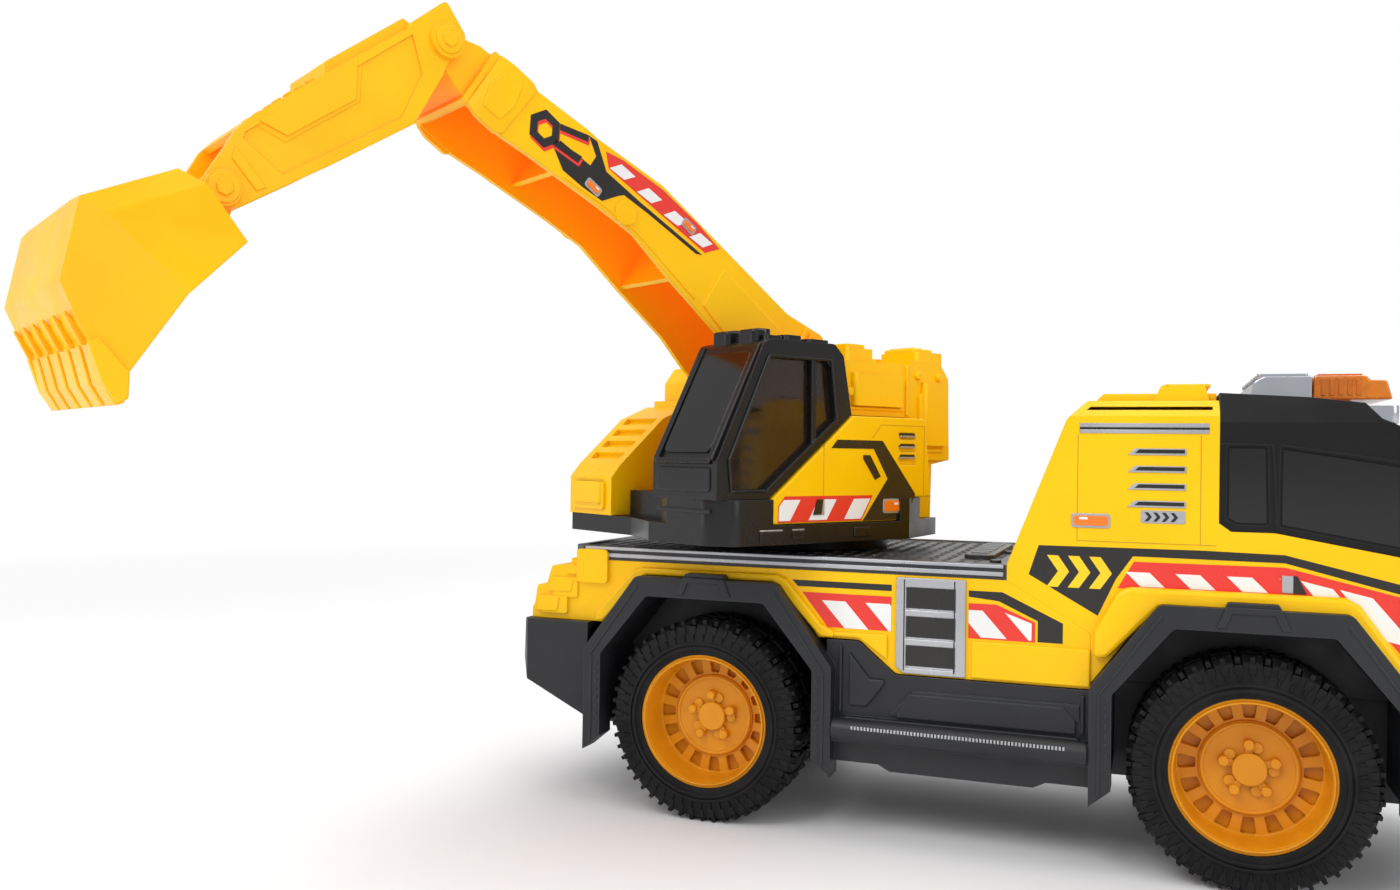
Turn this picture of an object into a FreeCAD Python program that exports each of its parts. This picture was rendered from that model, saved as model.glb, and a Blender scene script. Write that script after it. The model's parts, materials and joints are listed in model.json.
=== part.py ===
"""Toy truck excavator: a road truck chassis that carries a slewing digger with a
boom, a stick and a bucket.

Frame: millimetres, +Z up, +X towards the front of the truck, +Y to its left.
The origin is the middle of the flat chassis underside, halfway between the axles,
so the tyres reach below Z = 0. The digger is modelled in its own slewed frame, in
which x points along the boom, and each link of the arm in its own pivot frame.
"""
import FreeCAD, Part
import Sketcher
import math
import os

Vector = FreeCAD.Vector
Placement = FreeCAD.Placement
Rotation = FreeCAD.Rotation

DOC = FreeCAD.newDocument("truck_excavator")
D = DOC.addObject("Spreadsheet::Sheet", "D")

# Driving dimensions, in millimetres and degrees.
SIZES = [
    # wheels and axles
    ("wheelbase", 174.0), ("axle_height", 10.5), ("axle_dia", 4.0), ("axle_len", 90.0),
    ("tyre_dia", 70.0), ("tyre_width", 28.0), ("rim_dia", 46.4), ("outer_face", 59.0),
    ("lug_count", 26.0), ("lug_depth", 2.4), ("slot_count", 16.0), ("nut_count", 5.0),
    ("running_gap", 0.08),
    # chassis
    ("wall", 2.0), ("tub_half", 29.0), ("tub_rear", -138.0), ("tub_front", 150.0), ("tub_top", 31.0),
    ("sill", 31.5), ("post_rad", 4.0), ("screw_shank", 2.4), ("screw_head", 5.6),
    ("door_len", 61.6), ("door_width", 49.6), ("door_thick", 1.8),
    ("cell_dia", 14.2), ("cell_len", 50.0),
    # truck body
    ("body_half", 52.0), ("deck_under", 64.5), ("deck_top", 69.5), ("deck_rear", -142.0),
    ("cab_rear", 15.0), ("seam_front", 41.0), ("tail", -157.0), ("nose", 166.0),
    ("cab_roof", 122.5), ("canopy_start", 77.6), ("bumper_half", 56.0),
    # wheel arches, measured from the axle
    ("arch_leg", 46.0), ("arch_top", 26.0), ("arch_knee_height", 33.0), ("arch_height", 60.0),
    ("arch_lip", 6.6), ("arch_foot", -3.5),
    # digger
    ("slew_x", -74.0), ("slew_rest", -120.0), ("hub_dia", 18.0), ("turn_under", 74.0), ("turn_top", 80.5),
    ("step_top", 89.0), ("base_half", 50.0), ("arm_offset", -4.0),
    ("cabin_inner", 14.2), ("cabin_outer", 48.0), ("cabin_roof", 142.5), ("hood_outer", -50.0),
    # arm
    ("foot_x", 4.0), ("foot_z", 125.5), ("boom_len", 182.4), ("boom_angle", 33.7), ("boom_half", 17.0),
    ("stick_len", 84.2), ("stick_angle", -40.0), ("stick_half", 17.3), ("bucket_half", 37.8),
    ("crown_half", 28.0),
    ("pin_dia", 6.0), ("skin", 2.0), ("tip_half", 14.6),
    # drive
    ("gear_module", 0.5), ("axle_teeth", 30.0), ("idler_small", 12.0), ("idler_large", 30.0),
    ("pinion_teeth", 10.0), ("mesh_slack", 0.12),
]
for row, (alias, number) in enumerate(SIZES, start=1):
    D.set("A%d" % row, alias)
    D.set("B%d" % row, "%g" % number)
    D.setAlias("B%d" % row, alias)
DOC.recompute()


def size(alias):
    """A driving dimension, read back from the sheet."""
    return float(D.get(alias))


WALL = size("wall")
SWITCH_X = 60.0
SPEAKER_X = 108.0
HALF_BASE = size("wheelbase") / 2
AXLE_Z = size("axle_height")
PARTS = []


# ---------------------------------------------------------------- helpers
def new_body(label, placement=None):
    """A sub-part: one PartDesign body with its own name and place."""
    body = DOC.addObject("PartDesign::Body", label)
    body.Label = label
    if placement is not None:
        body.Placement = placement
    PARTS.append(body)
    return body


def origin_plane(body, role):
    return next(item for item in body.Origin.OriginFeatures if item.Role == role)


def corner_path(outline):
    """Line and arc geometry through (x, y) or (x, y, radius) corners."""
    count = len(outline)
    ends = []
    for index, corner in enumerate(outline):
        here = Vector(corner[0], corner[1], 0)
        radius = corner[2] if len(corner) > 2 else 0
        before = Vector(*outline[index - 1][:2], 0) - here
        after = Vector(*outline[(index + 1) % count][:2], 0) - here
        if radius == 0:
            ends.append((here, None, here))
            continue
        half_angle = before.getAngle(after) / 2
        reach = radius / math.tan(half_angle)
        start = here + before.normalize() * reach
        stop = here + after.normalize() * reach
        inward = (before + after).normalize()
        centre = here + inward * (radius / math.sin(half_angle))
        ends.append((start, centre - inward * radius, stop))
    path = []
    for index, (start, middle, stop) in enumerate(ends):
        if middle is not None:
            path.append(Part.Arc(start, middle, stop))
        following = ends[(index + 1) % count][0]
        if (following - stop).Length > 1e-6:
            path.append(Part.LineSegment(stop, following))
    return path


def sketch_on(body, role, geometry, offset):
    """A sketch on one of the body's own origin planes, moved along its normal."""
    sketch = body.newObject("Sketcher::SketchObject", body.Label + "_sketch")
    sketch.AttachmentSupport = [(origin_plane(body, role), "")]
    sketch.MapMode = "FlatFace"
    sketch.addGeometry(geometry, False)
    sketch.setExpression("AttachmentOffset.Base.z", offset)
    sketch.Visibility = False
    return sketch


def extrude(body, role, geometry, low, high, cut):
    """Pad or pocket between two places on the axis that the plane faces.

    low and high are sheet expressions. The XZ plane faces -Y, so its places run
    the other way.
    """
    offset = "-(%s)" % high if role == "XZ_Plane" else low
    sketch = sketch_on(body, role, geometry, offset)
    kind = "PartDesign::Pocket" if cut else "PartDesign::Pad"
    feature = body.newObject(kind, body.Label + ("_cut" if cut else "_pad"))
    feature.Profile = sketch
    feature.setExpression("Length", "(%s) - (%s)" % (high, low))
    feature.Reversed = cut
    return feature


def shape_add(body, role, outline, low, high):
    return extrude(body, role, corner_path(outline), low, high, False)


def shape_cut(body, role, outline, low, high):
    return extrude(body, role, corner_path(outline), low, high, True)


def rectangle(x_low, y_low, x_high, y_high, radius=0):
    return [(x_low, y_low, radius), (x_high, y_low, radius), (x_high, y_high, radius),
            (x_low, y_high, radius)]


def circle(x, y, radius):
    return [Part.Circle(Vector(x, y, 0), Vector(0, 0, 1), radius)]


def disc_add(body, role, x, y, dia, low, high):
    """A round pad whose diameter is a sheet expression."""
    return bind_circle(extrude(body, role, circle(x, y, 1), low, high, False), dia)


def disc_cut(body, role, x, y, dia, low, high):
    return bind_circle(extrude(body, role, circle(x, y, 1), low, high, True), dia)


def bind_circle(feature, dia):
    """Ties the only circle of a feature's sketch to a sheet expression."""
    sketch = feature.Profile[0]
    centre = sketch.Geometry[0].Center
    sketch.addConstraint(Sketcher.Constraint("DistanceX", -1, 1, 0, 3, centre.x))
    sketch.addConstraint(Sketcher.Constraint("DistanceY", -1, 1, 0, 3, centre.y))
    index = sketch.addConstraint(Sketcher.Constraint("Radius", 0, 1.0))
    sketch.setExpression("Constraints[%d]" % index, "(%s) / 2" % dia)
    return feature


def loft(body, role, first, first_at, second, second_at):
    """Material that runs from one outline to another with the same number of corners."""
    feature = body.newObject("PartDesign::AdditiveLoft", body.Label + "_loft")
    feature.Profile = sketch_on(body, role, corner_path(first), first_at)
    feature.Sections = [sketch_on(body, role, corner_path(second), second_at)]
    feature.Ruled = True
    return feature


def revolve(body, outline, axis_role="Y_Axis", role="XY_Plane"):
    """A full turn of an outline around one of the body's own axes."""
    sketch = sketch_on(body, role, corner_path(outline), "0")
    feature = body.newObject("PartDesign::Revolution", body.Label + "_turn")
    feature.Profile = sketch
    feature.ReferenceAxis = (origin_plane(body, axis_role), [""])
    feature.Angle = 360.0
    return feature


def ring_pattern(body, feature, count, axis_role):
    """Repeats a feature around a body axis; count is a sheet expression."""
    DOC.recompute()
    pattern = body.newObject("PartDesign::PolarPattern", body.Label + "_ring")
    pattern.Originals = [feature]
    pattern.Axis = (origin_plane(body, axis_role), [""])
    pattern.Angle = 360.0
    pattern.setExpression("Occurrences", count)
    body.Tip = pattern
    return pattern


def shifted(outline, dx, dy=0.0):
    return [(corner[0] + dx, corner[1] + dy) + tuple(corner[2:]) for corner in outline]


def group(label, shapes, placement=None):
    """Several identical loose pieces that share one node."""
    item = DOC.addObject("Part::Feature", label)
    item.Label = label
    item.Shape = shapes[0] if len(shapes) == 1 else Part.makeCompound(shapes)
    if placement is not None:
        item.Placement = placement
    PARTS.append(item)
    return item


def side_span(side, inner, outer):
    """Low and high Y expressions for a band on the right (-1) or left (+1) side."""
    if side < 0:
        return "-(%s)" % outer, "-(%s)" % inner
    return inner, outer


SIDES = {"right": -1, "left": 1}


# ---------------------------------------------------------------- wheels and axles
AXLES = {"front": HALF_BASE, "rear": -HALF_BASE}


def wheel_place(axle, side):
    turn = Rotation(Vector(0, 0, 1), 0 if side < 0 else 180)
    return Placement(Vector(AXLES[axle], side * size("outer_face"), AXLE_Z), turn)


def make_rim(label, place):
    """Deep dished wheel; its outer face looks along the body's own -Y."""
    seat = size("rim_dia") / 2
    width = size("tyre_width") - 1
    bore = size("axle_dia") / 2
    profile = [(0, 11), (5, 11, 0.8), (5, 12.4), (14.4, 12.4, 0.5), (14.4, 13.4), (20.6, 13.4, 0.5),
               (21.4, 11), (21.4, 1.8, 0.6), (seat, 1.0, 0.4), (seat, width), (21.2, width), (21.2, 15.8),
               (6, 15.8), (6, width), (bore, width), (bore, 14), (0, 14)]
    body = new_body(label, place)
    revolve(body, profile)
    slot = shape_cut(body, "XZ_Plane", [(15.1, -1.5, 0.5), (20.3, -2.3, 0.7), (20.3, 2.3, 0.7),
                                        (15.1, 1.5, 0.5)],
                     "12", "17")
    ring_pattern(body, slot, "D.slot_count", "Y_Axis")
    nut = disc_add(body, "XZ_Plane", 6.8, 0, "3.3", "11.3", "12.8")
    ring_pattern(body, nut, "D.nut_count", "Y_Axis")


def make_tyre(label, place):
    """Block tread tyre: a rounded ring with cross grooves cut in its tread."""
    outer = size("tyre_dia") / 2
    width = size("tyre_width")
    seat = size("rim_dia") / 2
    depth = size("lug_depth")
    profile = [(seat, 0.8), (seat + 1.8, 0.4), (outer - 9, 0, 1.0), (outer - 1.6, 1.4, 1.2),
               (outer, 5, 1.5),
               (outer, width - 5, 1.5), (outer - 1.6, width - 1.4, 1.2), (outer - 9, width, 1.0),
               (seat, width - 0.6)]
    body = new_body(label, place)
    revolve(body, profile)
    groove = shape_cut(body, "XZ_Plane", rectangle(outer - depth, -1.35, outer + 1, 1.35), "-1",
                       "D.tyre_width + 1")
    ring_pattern(body, groove, "D.lug_count", "Y_Axis")
    mid = width / 2
    channel = [(outer - depth, mid - 1.1), (outer + 1, mid - 1.4), (outer + 1, mid + 1.4),
               (outer - depth, mid + 1.1)]
    sketch = sketch_on(body, "XY_Plane", corner_path(channel), "0")
    turn = body.newObject("PartDesign::Groove", body.Label + "_channel")
    turn.Profile = sketch
    turn.ReferenceAxis = (origin_plane(body, "Y_Axis"), [""])
    turn.Angle = 360.0


def make_axle(label, x):
    body = new_body(label, Placement(Vector(x, 0, AXLE_Z), Rotation()))
    disc_add(body, "XZ_Plane", 0, 0, "D.axle_dia", "-D.axle_len / 2", "D.axle_len / 2")


# ---------------------------------------------------------------- chassis
POST_PLACES = [(x, y) for x in (-125, -45, 45, 125) for y in (-20, 20)]
DOOR_HALF_X = size("door_len") / 2
DOOR_HALF_Y = size("door_width") / 2


def make_chassis():
    """Open tub with the axle holes, the battery opening and the screw posts."""
    rear, front, half = size("tub_rear"), size("tub_front"), size("tub_half")
    body = new_body("chassis")
    shape_add(body, "XY_Plane", rectangle(rear, -half, front, half, 3), "0", "D.tub_top")
    shape_cut(body, "XY_Plane", rectangle(rear + WALL, -half + WALL, front - WALL, half - WALL, 1.5),
              "D.wall", "D.tub_top + 1")
    for x in AXLES.values():
        disc_cut(body, "XZ_Plane", x, AXLE_Z, "D.axle_dia + 2 * D.running_gap", "-D.tub_half - 1",
                 "D.tub_half + 1")
    edge = 0.2
    shape_cut(body, "XY_Plane", rectangle(-DOOR_HALF_X - edge, -DOOR_HALF_Y - edge, DOOR_HALF_X + edge,
                                          DOOR_HALF_Y + edge), "-1", "D.wall + 0.5")
    shape_cut(body, "XY_Plane", rectangle(SWITCH_X - 2.2, -3, SWITCH_X + 6.2, 3), "-1", "D.wall + 0.5")
    for ring in range(6):
        angle = math.radians(60 * ring)
        disc_cut(body, "XY_Plane", SPEAKER_X + 7 * math.cos(angle), 7 * math.sin(angle), "2.6", "-1",
                 "D.wall + 0.5")
    for x, y in POST_PLACES:
        disc_add(body, "XY_Plane", x, y, "2 * D.post_rad", "D.wall - 0.5", "D.tub_top")
        disc_cut(body, "XY_Plane", x, y, "D.screw_shank + 0.3", "-1", "D.tub_top + 1")
        disc_cut(body, "XY_Plane", x, y, "D.screw_head + 0.4", "-1", "2.2")


def make_screws():
    shank_rad, head_rad = size("screw_shank") / 2, size("screw_head") / 2
    screws = []
    for x, y in POST_PLACES:
        head = Part.makeCylinder(head_rad, 1.8, Vector(x, y, 0.3))
        cross = Part.makeBox(3.6, 0.8, 0.8, Vector(x - 1.8, y - 0.4, 0.3))
        cross = cross.fuse(Part.makeBox(0.8, 3.6, 0.8, Vector(x - 0.4, y - 1.8, 0.3)))
        shank = Part.makeCylinder(shank_rad, 42, Vector(x, y, 2.0))
        screws.append(head.cut(cross).fuse(shank).removeSplitter())
    group("body_screws", screws)


def arch_ring(centre):
    """The wheel arch lip: a flat topped frame with slanted shoulders."""
    leg, top, knee = size("arch_leg"), size("arch_top"), size("arch_knee_height")
    height, lip, foot = size("arch_height"), size("arch_lip"), size("arch_foot")
    in_leg, in_top, in_height = leg - lip, top - 4.2, height - lip - 0.4
    outer = [(-leg, foot), (-leg, knee, 3), (-top, height, 3), (top, height, 3), (leg, knee, 3),
             (leg, foot)]
    inner = [(in_leg, foot + 5.5), (in_leg, knee - 1.5, 2), (in_top, in_height, 2), (-in_top, in_height, 2),
             (-in_leg, knee - 1.5, 2), (-in_leg, foot + 5.5)]
    return shifted(outer + inner, centre)


def arch_liner(centre):
    """The thin wheel well skin behind the lip."""
    in_leg, in_top = size("arch_leg") - size("arch_lip"), size("arch_top") - 4.2
    knee, in_height = size("arch_knee_height") - 1.5, size("arch_height") - size("arch_lip") - 0.4
    skin = 1.8
    outer = [(-in_leg - skin, 6), (-in_leg - skin, knee + 0.6), (-in_top - 1, in_height + skin),
             (in_top + 1, in_height + skin), (in_leg + skin, knee + 0.6), (in_leg + skin, 6)]
    inner = [(in_leg, 6), (in_leg, knee), (in_top, in_height), (-in_top, in_height), (-in_leg, knee),
             (-in_leg, 6)]
    return shifted(outer + inner, centre)


def arch_hole(centre):
    """The opening a body shell leaves for an arch lip."""
    gap = 0.25
    leg, top = size("arch_leg") + gap, size("arch_top") + gap
    knee, height = size("arch_knee_height"), size("arch_height") + gap
    return shifted([(-leg, -10), (-leg, knee), (-top, height), (top, height), (leg, knee), (leg, -10)],
                   centre)


def make_side_trim(label, side):
    """Dark moulding: both arch lips, the skirt between them and the step bar."""
    body = new_body(label)
    span = lambda inner, outer: side_span(side, inner, outer)
    reach = HALF_BASE - size("arch_leg")
    skirt = [(-reach - 3, 1), (-26, 1), (-22, -1.0), (24, -1.0), (28, 1), (reach + 3, 1), (reach + 3, 31.3),
             (-20.5, 31.3, 3), (-33, 41.6, 3), (-reach - 3, 41.6)]
    shape_add(body, "XZ_Plane", skirt, *span("D.body_half - 4", "D.body_half + 1.2"))
    for centre in AXLES.values():
        shape_add(body, "XZ_Plane", arch_ring(centre), *span("D.body_half - 2.4", "D.outer_face"))
        shape_add(body, "XZ_Plane", arch_liner(centre), *span("D.tub_half + 0.5", "D.body_half"))
        well_wall = [(-40.5, 31.2), (-40.5, 32.1), (-22.6, 54), (22.6, 54), (40.5, 32.1), (40.5, 31.2)]
        shape_add(body, "XZ_Plane", shifted(well_wall, centre),
                  *span("D.tub_half + 0.5", "D.tub_half + 1.6"))
        rise = size("arch_height")
        tab = shifted([(-9, rise - 4), (-7, rise + 1.8, 1), (7, rise + 1.8, 1), (9, rise - 4)], centre)
        shape_add(body, "XZ_Plane", tab, *span("D.body_half + 0.6", "D.outer_face"))
    step = rectangle(-reach - 1, 8.5, reach + 1, 15.5, 1.5)
    shape_add(body, "XZ_Plane", step, *span("D.body_half", "D.outer_face - 1"))
    shape_add(body, "XZ_Plane", rectangle(-reach + 4, 14, reach - 3, 16.6, 0.8),
              *span("D.body_half + 1", "D.outer_face - 2.6"))
    panel = [(-22, 18), (34, 18), (38, 22), (38, 26.5), (-14, 26.5)]
    shape_add(body, "XZ_Plane", panel, *span("D.body_half", "D.body_half + 2"))
    for x in (-24, 24):
        shape_add(body, "XZ_Plane", rectangle(x - 5, 3, x + 5, 26), *span("D.tub_half", "D.body_half - 3"))


def make_rear_bumper():
    half = size("bumper_half")
    inner_end = -HALF_BASE - size("arch_leg") - 0.05
    body = new_body("rear_bumper")
    side_view = [(inner_end, 41.9), (-160, 41.9, 1), (-161, 27, 1), (-158, 19.5, 1), (-148, 14.6),
                 (inner_end, 7.5)]
    shape_add(body, "XZ_Plane", side_view, "-D.bumper_half", "D.bumper_half")
    hollow = [(inner_end + 1, 39.5), (-157.5, 39.5), (-158.6, 27), (-156, 21.5), (inner_end + 1, 10.5)]
    shape_cut(body, "XZ_Plane", hollow, "-D.bumper_half + 2.2", "D.bumper_half - 2.2")
    shape_cut(body, "XY_Plane", [(-162, half - 5), (-157, half + 1), (-163, half + 1)], "0", "45")
    shape_cut(body, "XY_Plane", [(-162, -half + 5), (-163, -half - 1), (-157, -half - 1)], "0", "45")
    for y in (-16, 16):
        shape_add(body, "XY_Plane", rectangle(-161.5, y - 2, -159, y + 2), "22", "38")
    tub_gap = size("tub_half") + 0.3
    shape_cut(body, "XY_Plane", rectangle(size("tub_rear") - 0.3, -tub_gap, -120, tub_gap), "-5",
              "D.tub_top + 0.3")
    shape_add(body, "XY_Plane", rectangle(-152, -26, size("tub_rear"), 26), "20", "24")


def make_front_bumper():
    half = size("bumper_half")
    inner_end = HALF_BASE + size("arch_leg") + 0.05
    body = new_body("front_bumper")
    side_view = [(inner_end, 31.3), (inner_end, 4), (156, -1), (167, 6, 2), (170.5, 14, 2),
                 (170.5, 31.3, 1)]
    shape_add(body, "XZ_Plane", side_view, "-D.bumper_half", "D.bumper_half")
    hollow = [(inner_end - 1, 28.8), (inner_end - 1, 7), (156, 2.4), (165, 8), (168, 15), (168, 28.8)]
    shape_cut(body, "XZ_Plane", hollow, "-D.bumper_half + 2.2", "D.bumper_half - 2.2")
    shape_cut(body, "XY_Plane", [(172, half - 9), (172, half + 1), (160, half + 1)], "-5", "45")
    shape_cut(body, "XY_Plane", [(172, -half + 9), (160, -half - 1), (172, -half - 1)], "-5", "45")
    tub_gap = size("tub_half") + 0.3
    shape_cut(body, "XY_Plane", rectangle(130, -tub_gap, size("tub_front") + 0.3, tub_gap), "-5",
              "D.tub_top + 0.4")
    shape_add(body, "XY_Plane", rectangle(size("tub_front"), -26, 160, 26), "20", "24")


# ---------------------------------------------------------------- truck body
def add_posts(body, places, roof):
    """Posts that reach down to the chassis and take its screws."""
    for x, y in places:
        disc_add(body, "XY_Plane", x, y, "2 * D.post_rad", "D.tub_top", roof)
        disc_cut(body, "XY_Plane", x, y, "D.screw_shank + 0.1", "D.tub_top - 1", "46")


def cut_arches(body, centre):
    for side in SIDES.values():
        shape_cut(body, "XZ_Plane", arch_hole(centre), *side_span(side, "D.tub_half + 0.4",
                                                                  "D.body_half + 8"))


def make_rear_body():
    """Yellow load bed shell with the stepped tail and the latch tabs."""
    tail, deck_rear, under = size("tail"), size("deck_rear"), size("deck_under")
    cab, seam, sill = size("cab_rear"), size("seam_front"), size("sill")
    low_rear = 41.9
    outline = [(seam, sill), (-20.5, sill, 3), (-33, low_rear, 3), (tail - 1, low_rear),
               (tail - 1, 45.5, 1),
               (tail, 47.5), (tail + 1, 54, 1.5), (tail + 5, 55), (tail + 7, 61.5, 1.5),
               (deck_rear, 62.5, 1),
               (deck_rear, under), (cab, under), (seam, 49)]
    inner = [(seam - WALL, sill - 2), (-21, sill - 2), (-34, low_rear - 2), (tail + 1.5, low_rear - 2),
             (tail + 3, 52), (tail + 9, 57), (deck_rear + 3, 60), (deck_rear + 5, under - WALL),
             (cab - 1, under - WALL), (seam - WALL, 48)]
    body = new_body("rear_body")
    shape_add(body, "XZ_Plane", outline, "-D.body_half", "D.body_half")
    shape_cut(body, "XZ_Plane", inner, "-D.body_half + D.wall", "D.body_half - D.wall")
    for side in SIDES.values():
        tab = rectangle(-139, 56, -126.5, 68.3, 1.6)
        shape_add(body, "XZ_Plane", tab, *side_span(side, "D.body_half - 0.6", "D.body_half + 1.8"))
        shape_cut(body, "XZ_Plane", rectangle(-141, under, -124, 70),
                  *side_span(side, "40", "D.body_half + 0.45"))
        block = rectangle(tail + 3, 44, tail + 14, 50.5, 1)
        shape_add(body, "XZ_Plane", block, *side_span(side, "D.body_half - 1", "D.body_half + 1.2"))
        rib = rectangle(tail + 8, 50, tail + 18, 57.5, 1)
        shape_add(body, "XZ_Plane", rib, *side_span(side, "D.body_half - 1", "D.body_half + 0.8"))
    cut_arches(body, -HALF_BASE)
    add_posts(body, POST_PLACES[:4], "D.deck_under - 1")
    disc_cut(body, "XY_Plane", size("slew_x"), 0, "D.hub_dia + 2 * D.running_gap", "50", "D.deck_under + 1")


def make_deck_plate():
    """Grey deck with a raised rim and a hole for the slewing hub."""
    rear, front, half = size("deck_rear"), size("cab_rear"), size("body_half") + 0.3
    body = new_body("deck_plate")
    plan = [(rear, -half + 5), (rear + 5, -half), (front, -half), (front, half), (rear + 5, half),
            (rear, half - 5)]
    shape_add(body, "XY_Plane", plan, "D.deck_under", "D.deck_top")
    well = [(rear + 3, -half + 7), (rear + 7, -half + 3), (front - 2, -half + 3), (front - 2, half - 3),
            (rear + 7, half - 3), (rear + 3, half - 7)]
    shape_cut(body, "XY_Plane", well, "D.deck_top - 0.6", "D.deck_top + 1")
    disc_cut(body, "XY_Plane", size("slew_x"), 0, "D.hub_dia + 2 * D.running_gap", "D.deck_under - 1",
             "D.deck_top + 1")


def make_cab_body():
    """Yellow cab shell: sloping rear wall, closed roof part and the nose."""
    cab, seam, sill, nose = size("cab_rear"), size("seam_front"), size("sill"), size("nose")
    under, deck, roof, split = size("deck_under"), size("deck_top"), size("cab_roof"), size("canopy_start")
    outline = [(seam, sill), (seam, 49), (cab, under), (cab, deck), (33, 116.5, 3), (39, roof, 2),
               (split, roof),
               (split, 85), (81, 82.5), (93, 82.5), (157, 71.2, 4), (nose - 0.5, 66, 3), (nose, sill)]
    inner = [(seam + WALL, sill - 2), (seam + WALL, 50), (cab + 3.5, under + 1), (cab + 3.5, deck),
             (35.2, 115.8), (40, roof - WALL), (split - WALL, roof - WALL), (split - WALL, 84),
             (80, 80.4), (93, 80.4), (156, 69), (nose - WALL, 64.5), (nose - WALL, sill - 2)]
    body = new_body("cab_body")
    shape_add(body, "XZ_Plane", outline, "-D.body_half", "D.body_half")
    shape_cut(body, "XZ_Plane", inner, "-D.body_half + D.wall", "D.body_half - D.wall")
    half = size("body_half")
    for side in SIDES.values():
        bevel = [(side * (half + 1), roof - 6), (side * (half + 1), roof + 1),
                 (side * (half - 6), roof + 1)]
        shape_cut(body, "YZ_Plane", bevel, "0", "D.canopy_start + 1")
        corner = [(nose + 1, side * (half + 1)), (nose + 1, side * (half - 6)),
                  (nose - 6, side * (half + 1))]
        shape_cut(body, "XY_Plane", corner, "20", "80")
    cut_arches(body, HALF_BASE)
    add_posts(body, POST_PLACES[4:6], "60")
    add_posts(body, POST_PLACES[6:], "76")
    shape_add(body, "XZ_Plane", rectangle(seam + 0.5, 57, 58, 61), "-D.body_half + 1", "D.body_half - 1")


def make_canopy():
    """Black one-piece window and roof moulding in front of the yellow cab part."""
    start = size("canopy_start") + 0.05
    half = size("body_half") - 0.4
    outline = [(start, 85), (81, 82.55), (93, 82.55), (156, 71.4), (144, 106, 4), (121, 117), (117, 121.7),
               (102, 123.5), (start, 124.9)]
    body = new_body("cab_canopy")
    shape_add(body, "XZ_Plane", outline, "-D.body_half + 0.4", "D.body_half - 0.4")
    hollow = [(start + 2, 76), (start + 2, 112), (118, 112), (140, 104), (153, 73), (153, 66)]
    shape_cut(body, "XZ_Plane", hollow, "-D.body_half + 2.6", "D.body_half - 2.6")
    for side in SIDES.values():
        bevel = [(side * (half + 1), 114), (side * (half + 1), 127), (side * (half - 6), 127)]
        shape_cut(body, "YZ_Plane", bevel, "70", "170")
        door = [(start + 2, 86, 1), (82.2, 84.6), (91.6, 84.6, 1), (91, 108.8, 1), (start + 2, 108.8, 1)]
        front = [(94, 84.4, 1), (151, 74.4, 1), (141.5, 101.5, 2), (94.4, 108.6, 1)]
        for pane in (door, front):
            shape_cut(body, "XZ_Plane", pane, *side_span(side, "D.body_half - 1.1", "D.body_half + 1"))
    shape_cut(body, "XY_Plane", rectangle(85.8, -36.2, 128.2, 36.2), "116", "130")


def make_roof_block():
    """Low roof rib and the ribbed block on the yellow cab roof."""
    body = new_body("roof_block")
    roof = size("cab_roof")
    shape_add(body, "XZ_Plane", [(41, roof), (43.5, roof + 2.6, 1), (77, roof + 2.6), (77, roof)], "-40",
              "40")
    shape_add(body, "XZ_Plane", [(58.5, roof), (61, roof + 5.2, 1.2), (73.5, roof + 5.2, 1.2),
                                 (75, roof)], "-43", "43")
    for number in range(5):
        x = 62.2 + 2.4 * number
        shape_cut(body, "XZ_Plane", rectangle(x, roof + 4.6, x + 1, roof + 6), "-44", "44")


def make_light_bar():
    """Bright roof tray and reflector block that carry the amber lens."""
    body = new_body("light_bar")
    shape_add(body, "XY_Plane", rectangle(86, -36, 128, 36, 2), "116", "121.5")
    shape_add(body, "XZ_Plane", [(86.5, 121), (88, 129, 2), (91, 130.6, 1), (104.4, 130.6), (104.4, 121)],
              "-34", "34")
    shape_cut(body, "XY_Plane", rectangle(111.6, -5.4, 119.4, 5.4), "115", "122")
    for number in range(5):
        y = -28 + 14 * number
        shape_cut(body, "XZ_Plane", rectangle(85, 125, 87.8, 132), "%g" % (y - 0.5), "%g" % (y + 0.5))


def make_beacon_button():
    """Amber lens that is pressed down for light and sound."""
    body = new_body("beacon_button")
    lens = [(105, 123.4), (105, 130.8, 1), (119.5, 130.8, 1), (120.5, 129.4), (125, 129.4, 1),
            (126.6, 123.4)]
    shape_add(body, "XZ_Plane", lens, "-33", "33")
    shape_add(body, "XY_Plane", rectangle(112, -5, 119, 5), "118", "124")


def make_grille():
    nose = size("nose")
    body = new_body("grille")
    shape_add(body, "YZ_Plane", rectangle(-25, 37, 25, 62, 2), "D.nose", "D.nose + 2.4")
    for number in range(4):
        z = 40.5 + 5.2 * number
        shape_cut(body, "YZ_Plane", rectangle(-22, z, 22, z + 2.8, 1), "%g" % (nose + 0.8),
                  "%g" % (nose + 4))


def make_headlight(label, side):
    body = new_body(label)
    shape_add(body, "YZ_Plane", rectangle(side * 37 - 7.5, 43, side * 37 + 7.5, 56, 3), "D.nose",
              "D.nose + 2.6")


def make_ladder(label, side):
    """Flat ladder plate on the side of the load bed."""
    body = new_body(label)
    shape_add(body, "XZ_Plane", [(-20.5, 34), (-18, 32), (2.3, 32), (2.3, 63.8), (-20.5, 63.8)],
              *side_span(side, "D.body_half", "D.body_half + 1.2"))
    for number in range(3):
        z = 34 + 9.6 * number
        shape_cut(body, "XZ_Plane", rectangle(-17.2, z, -1, z + 7.4),
                  *side_span(side, "D.body_half + 0.5", "60"))


# ---------------------------------------------------------------- inside the chassis
IDLER_ANGLE = math.radians(20)


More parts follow.
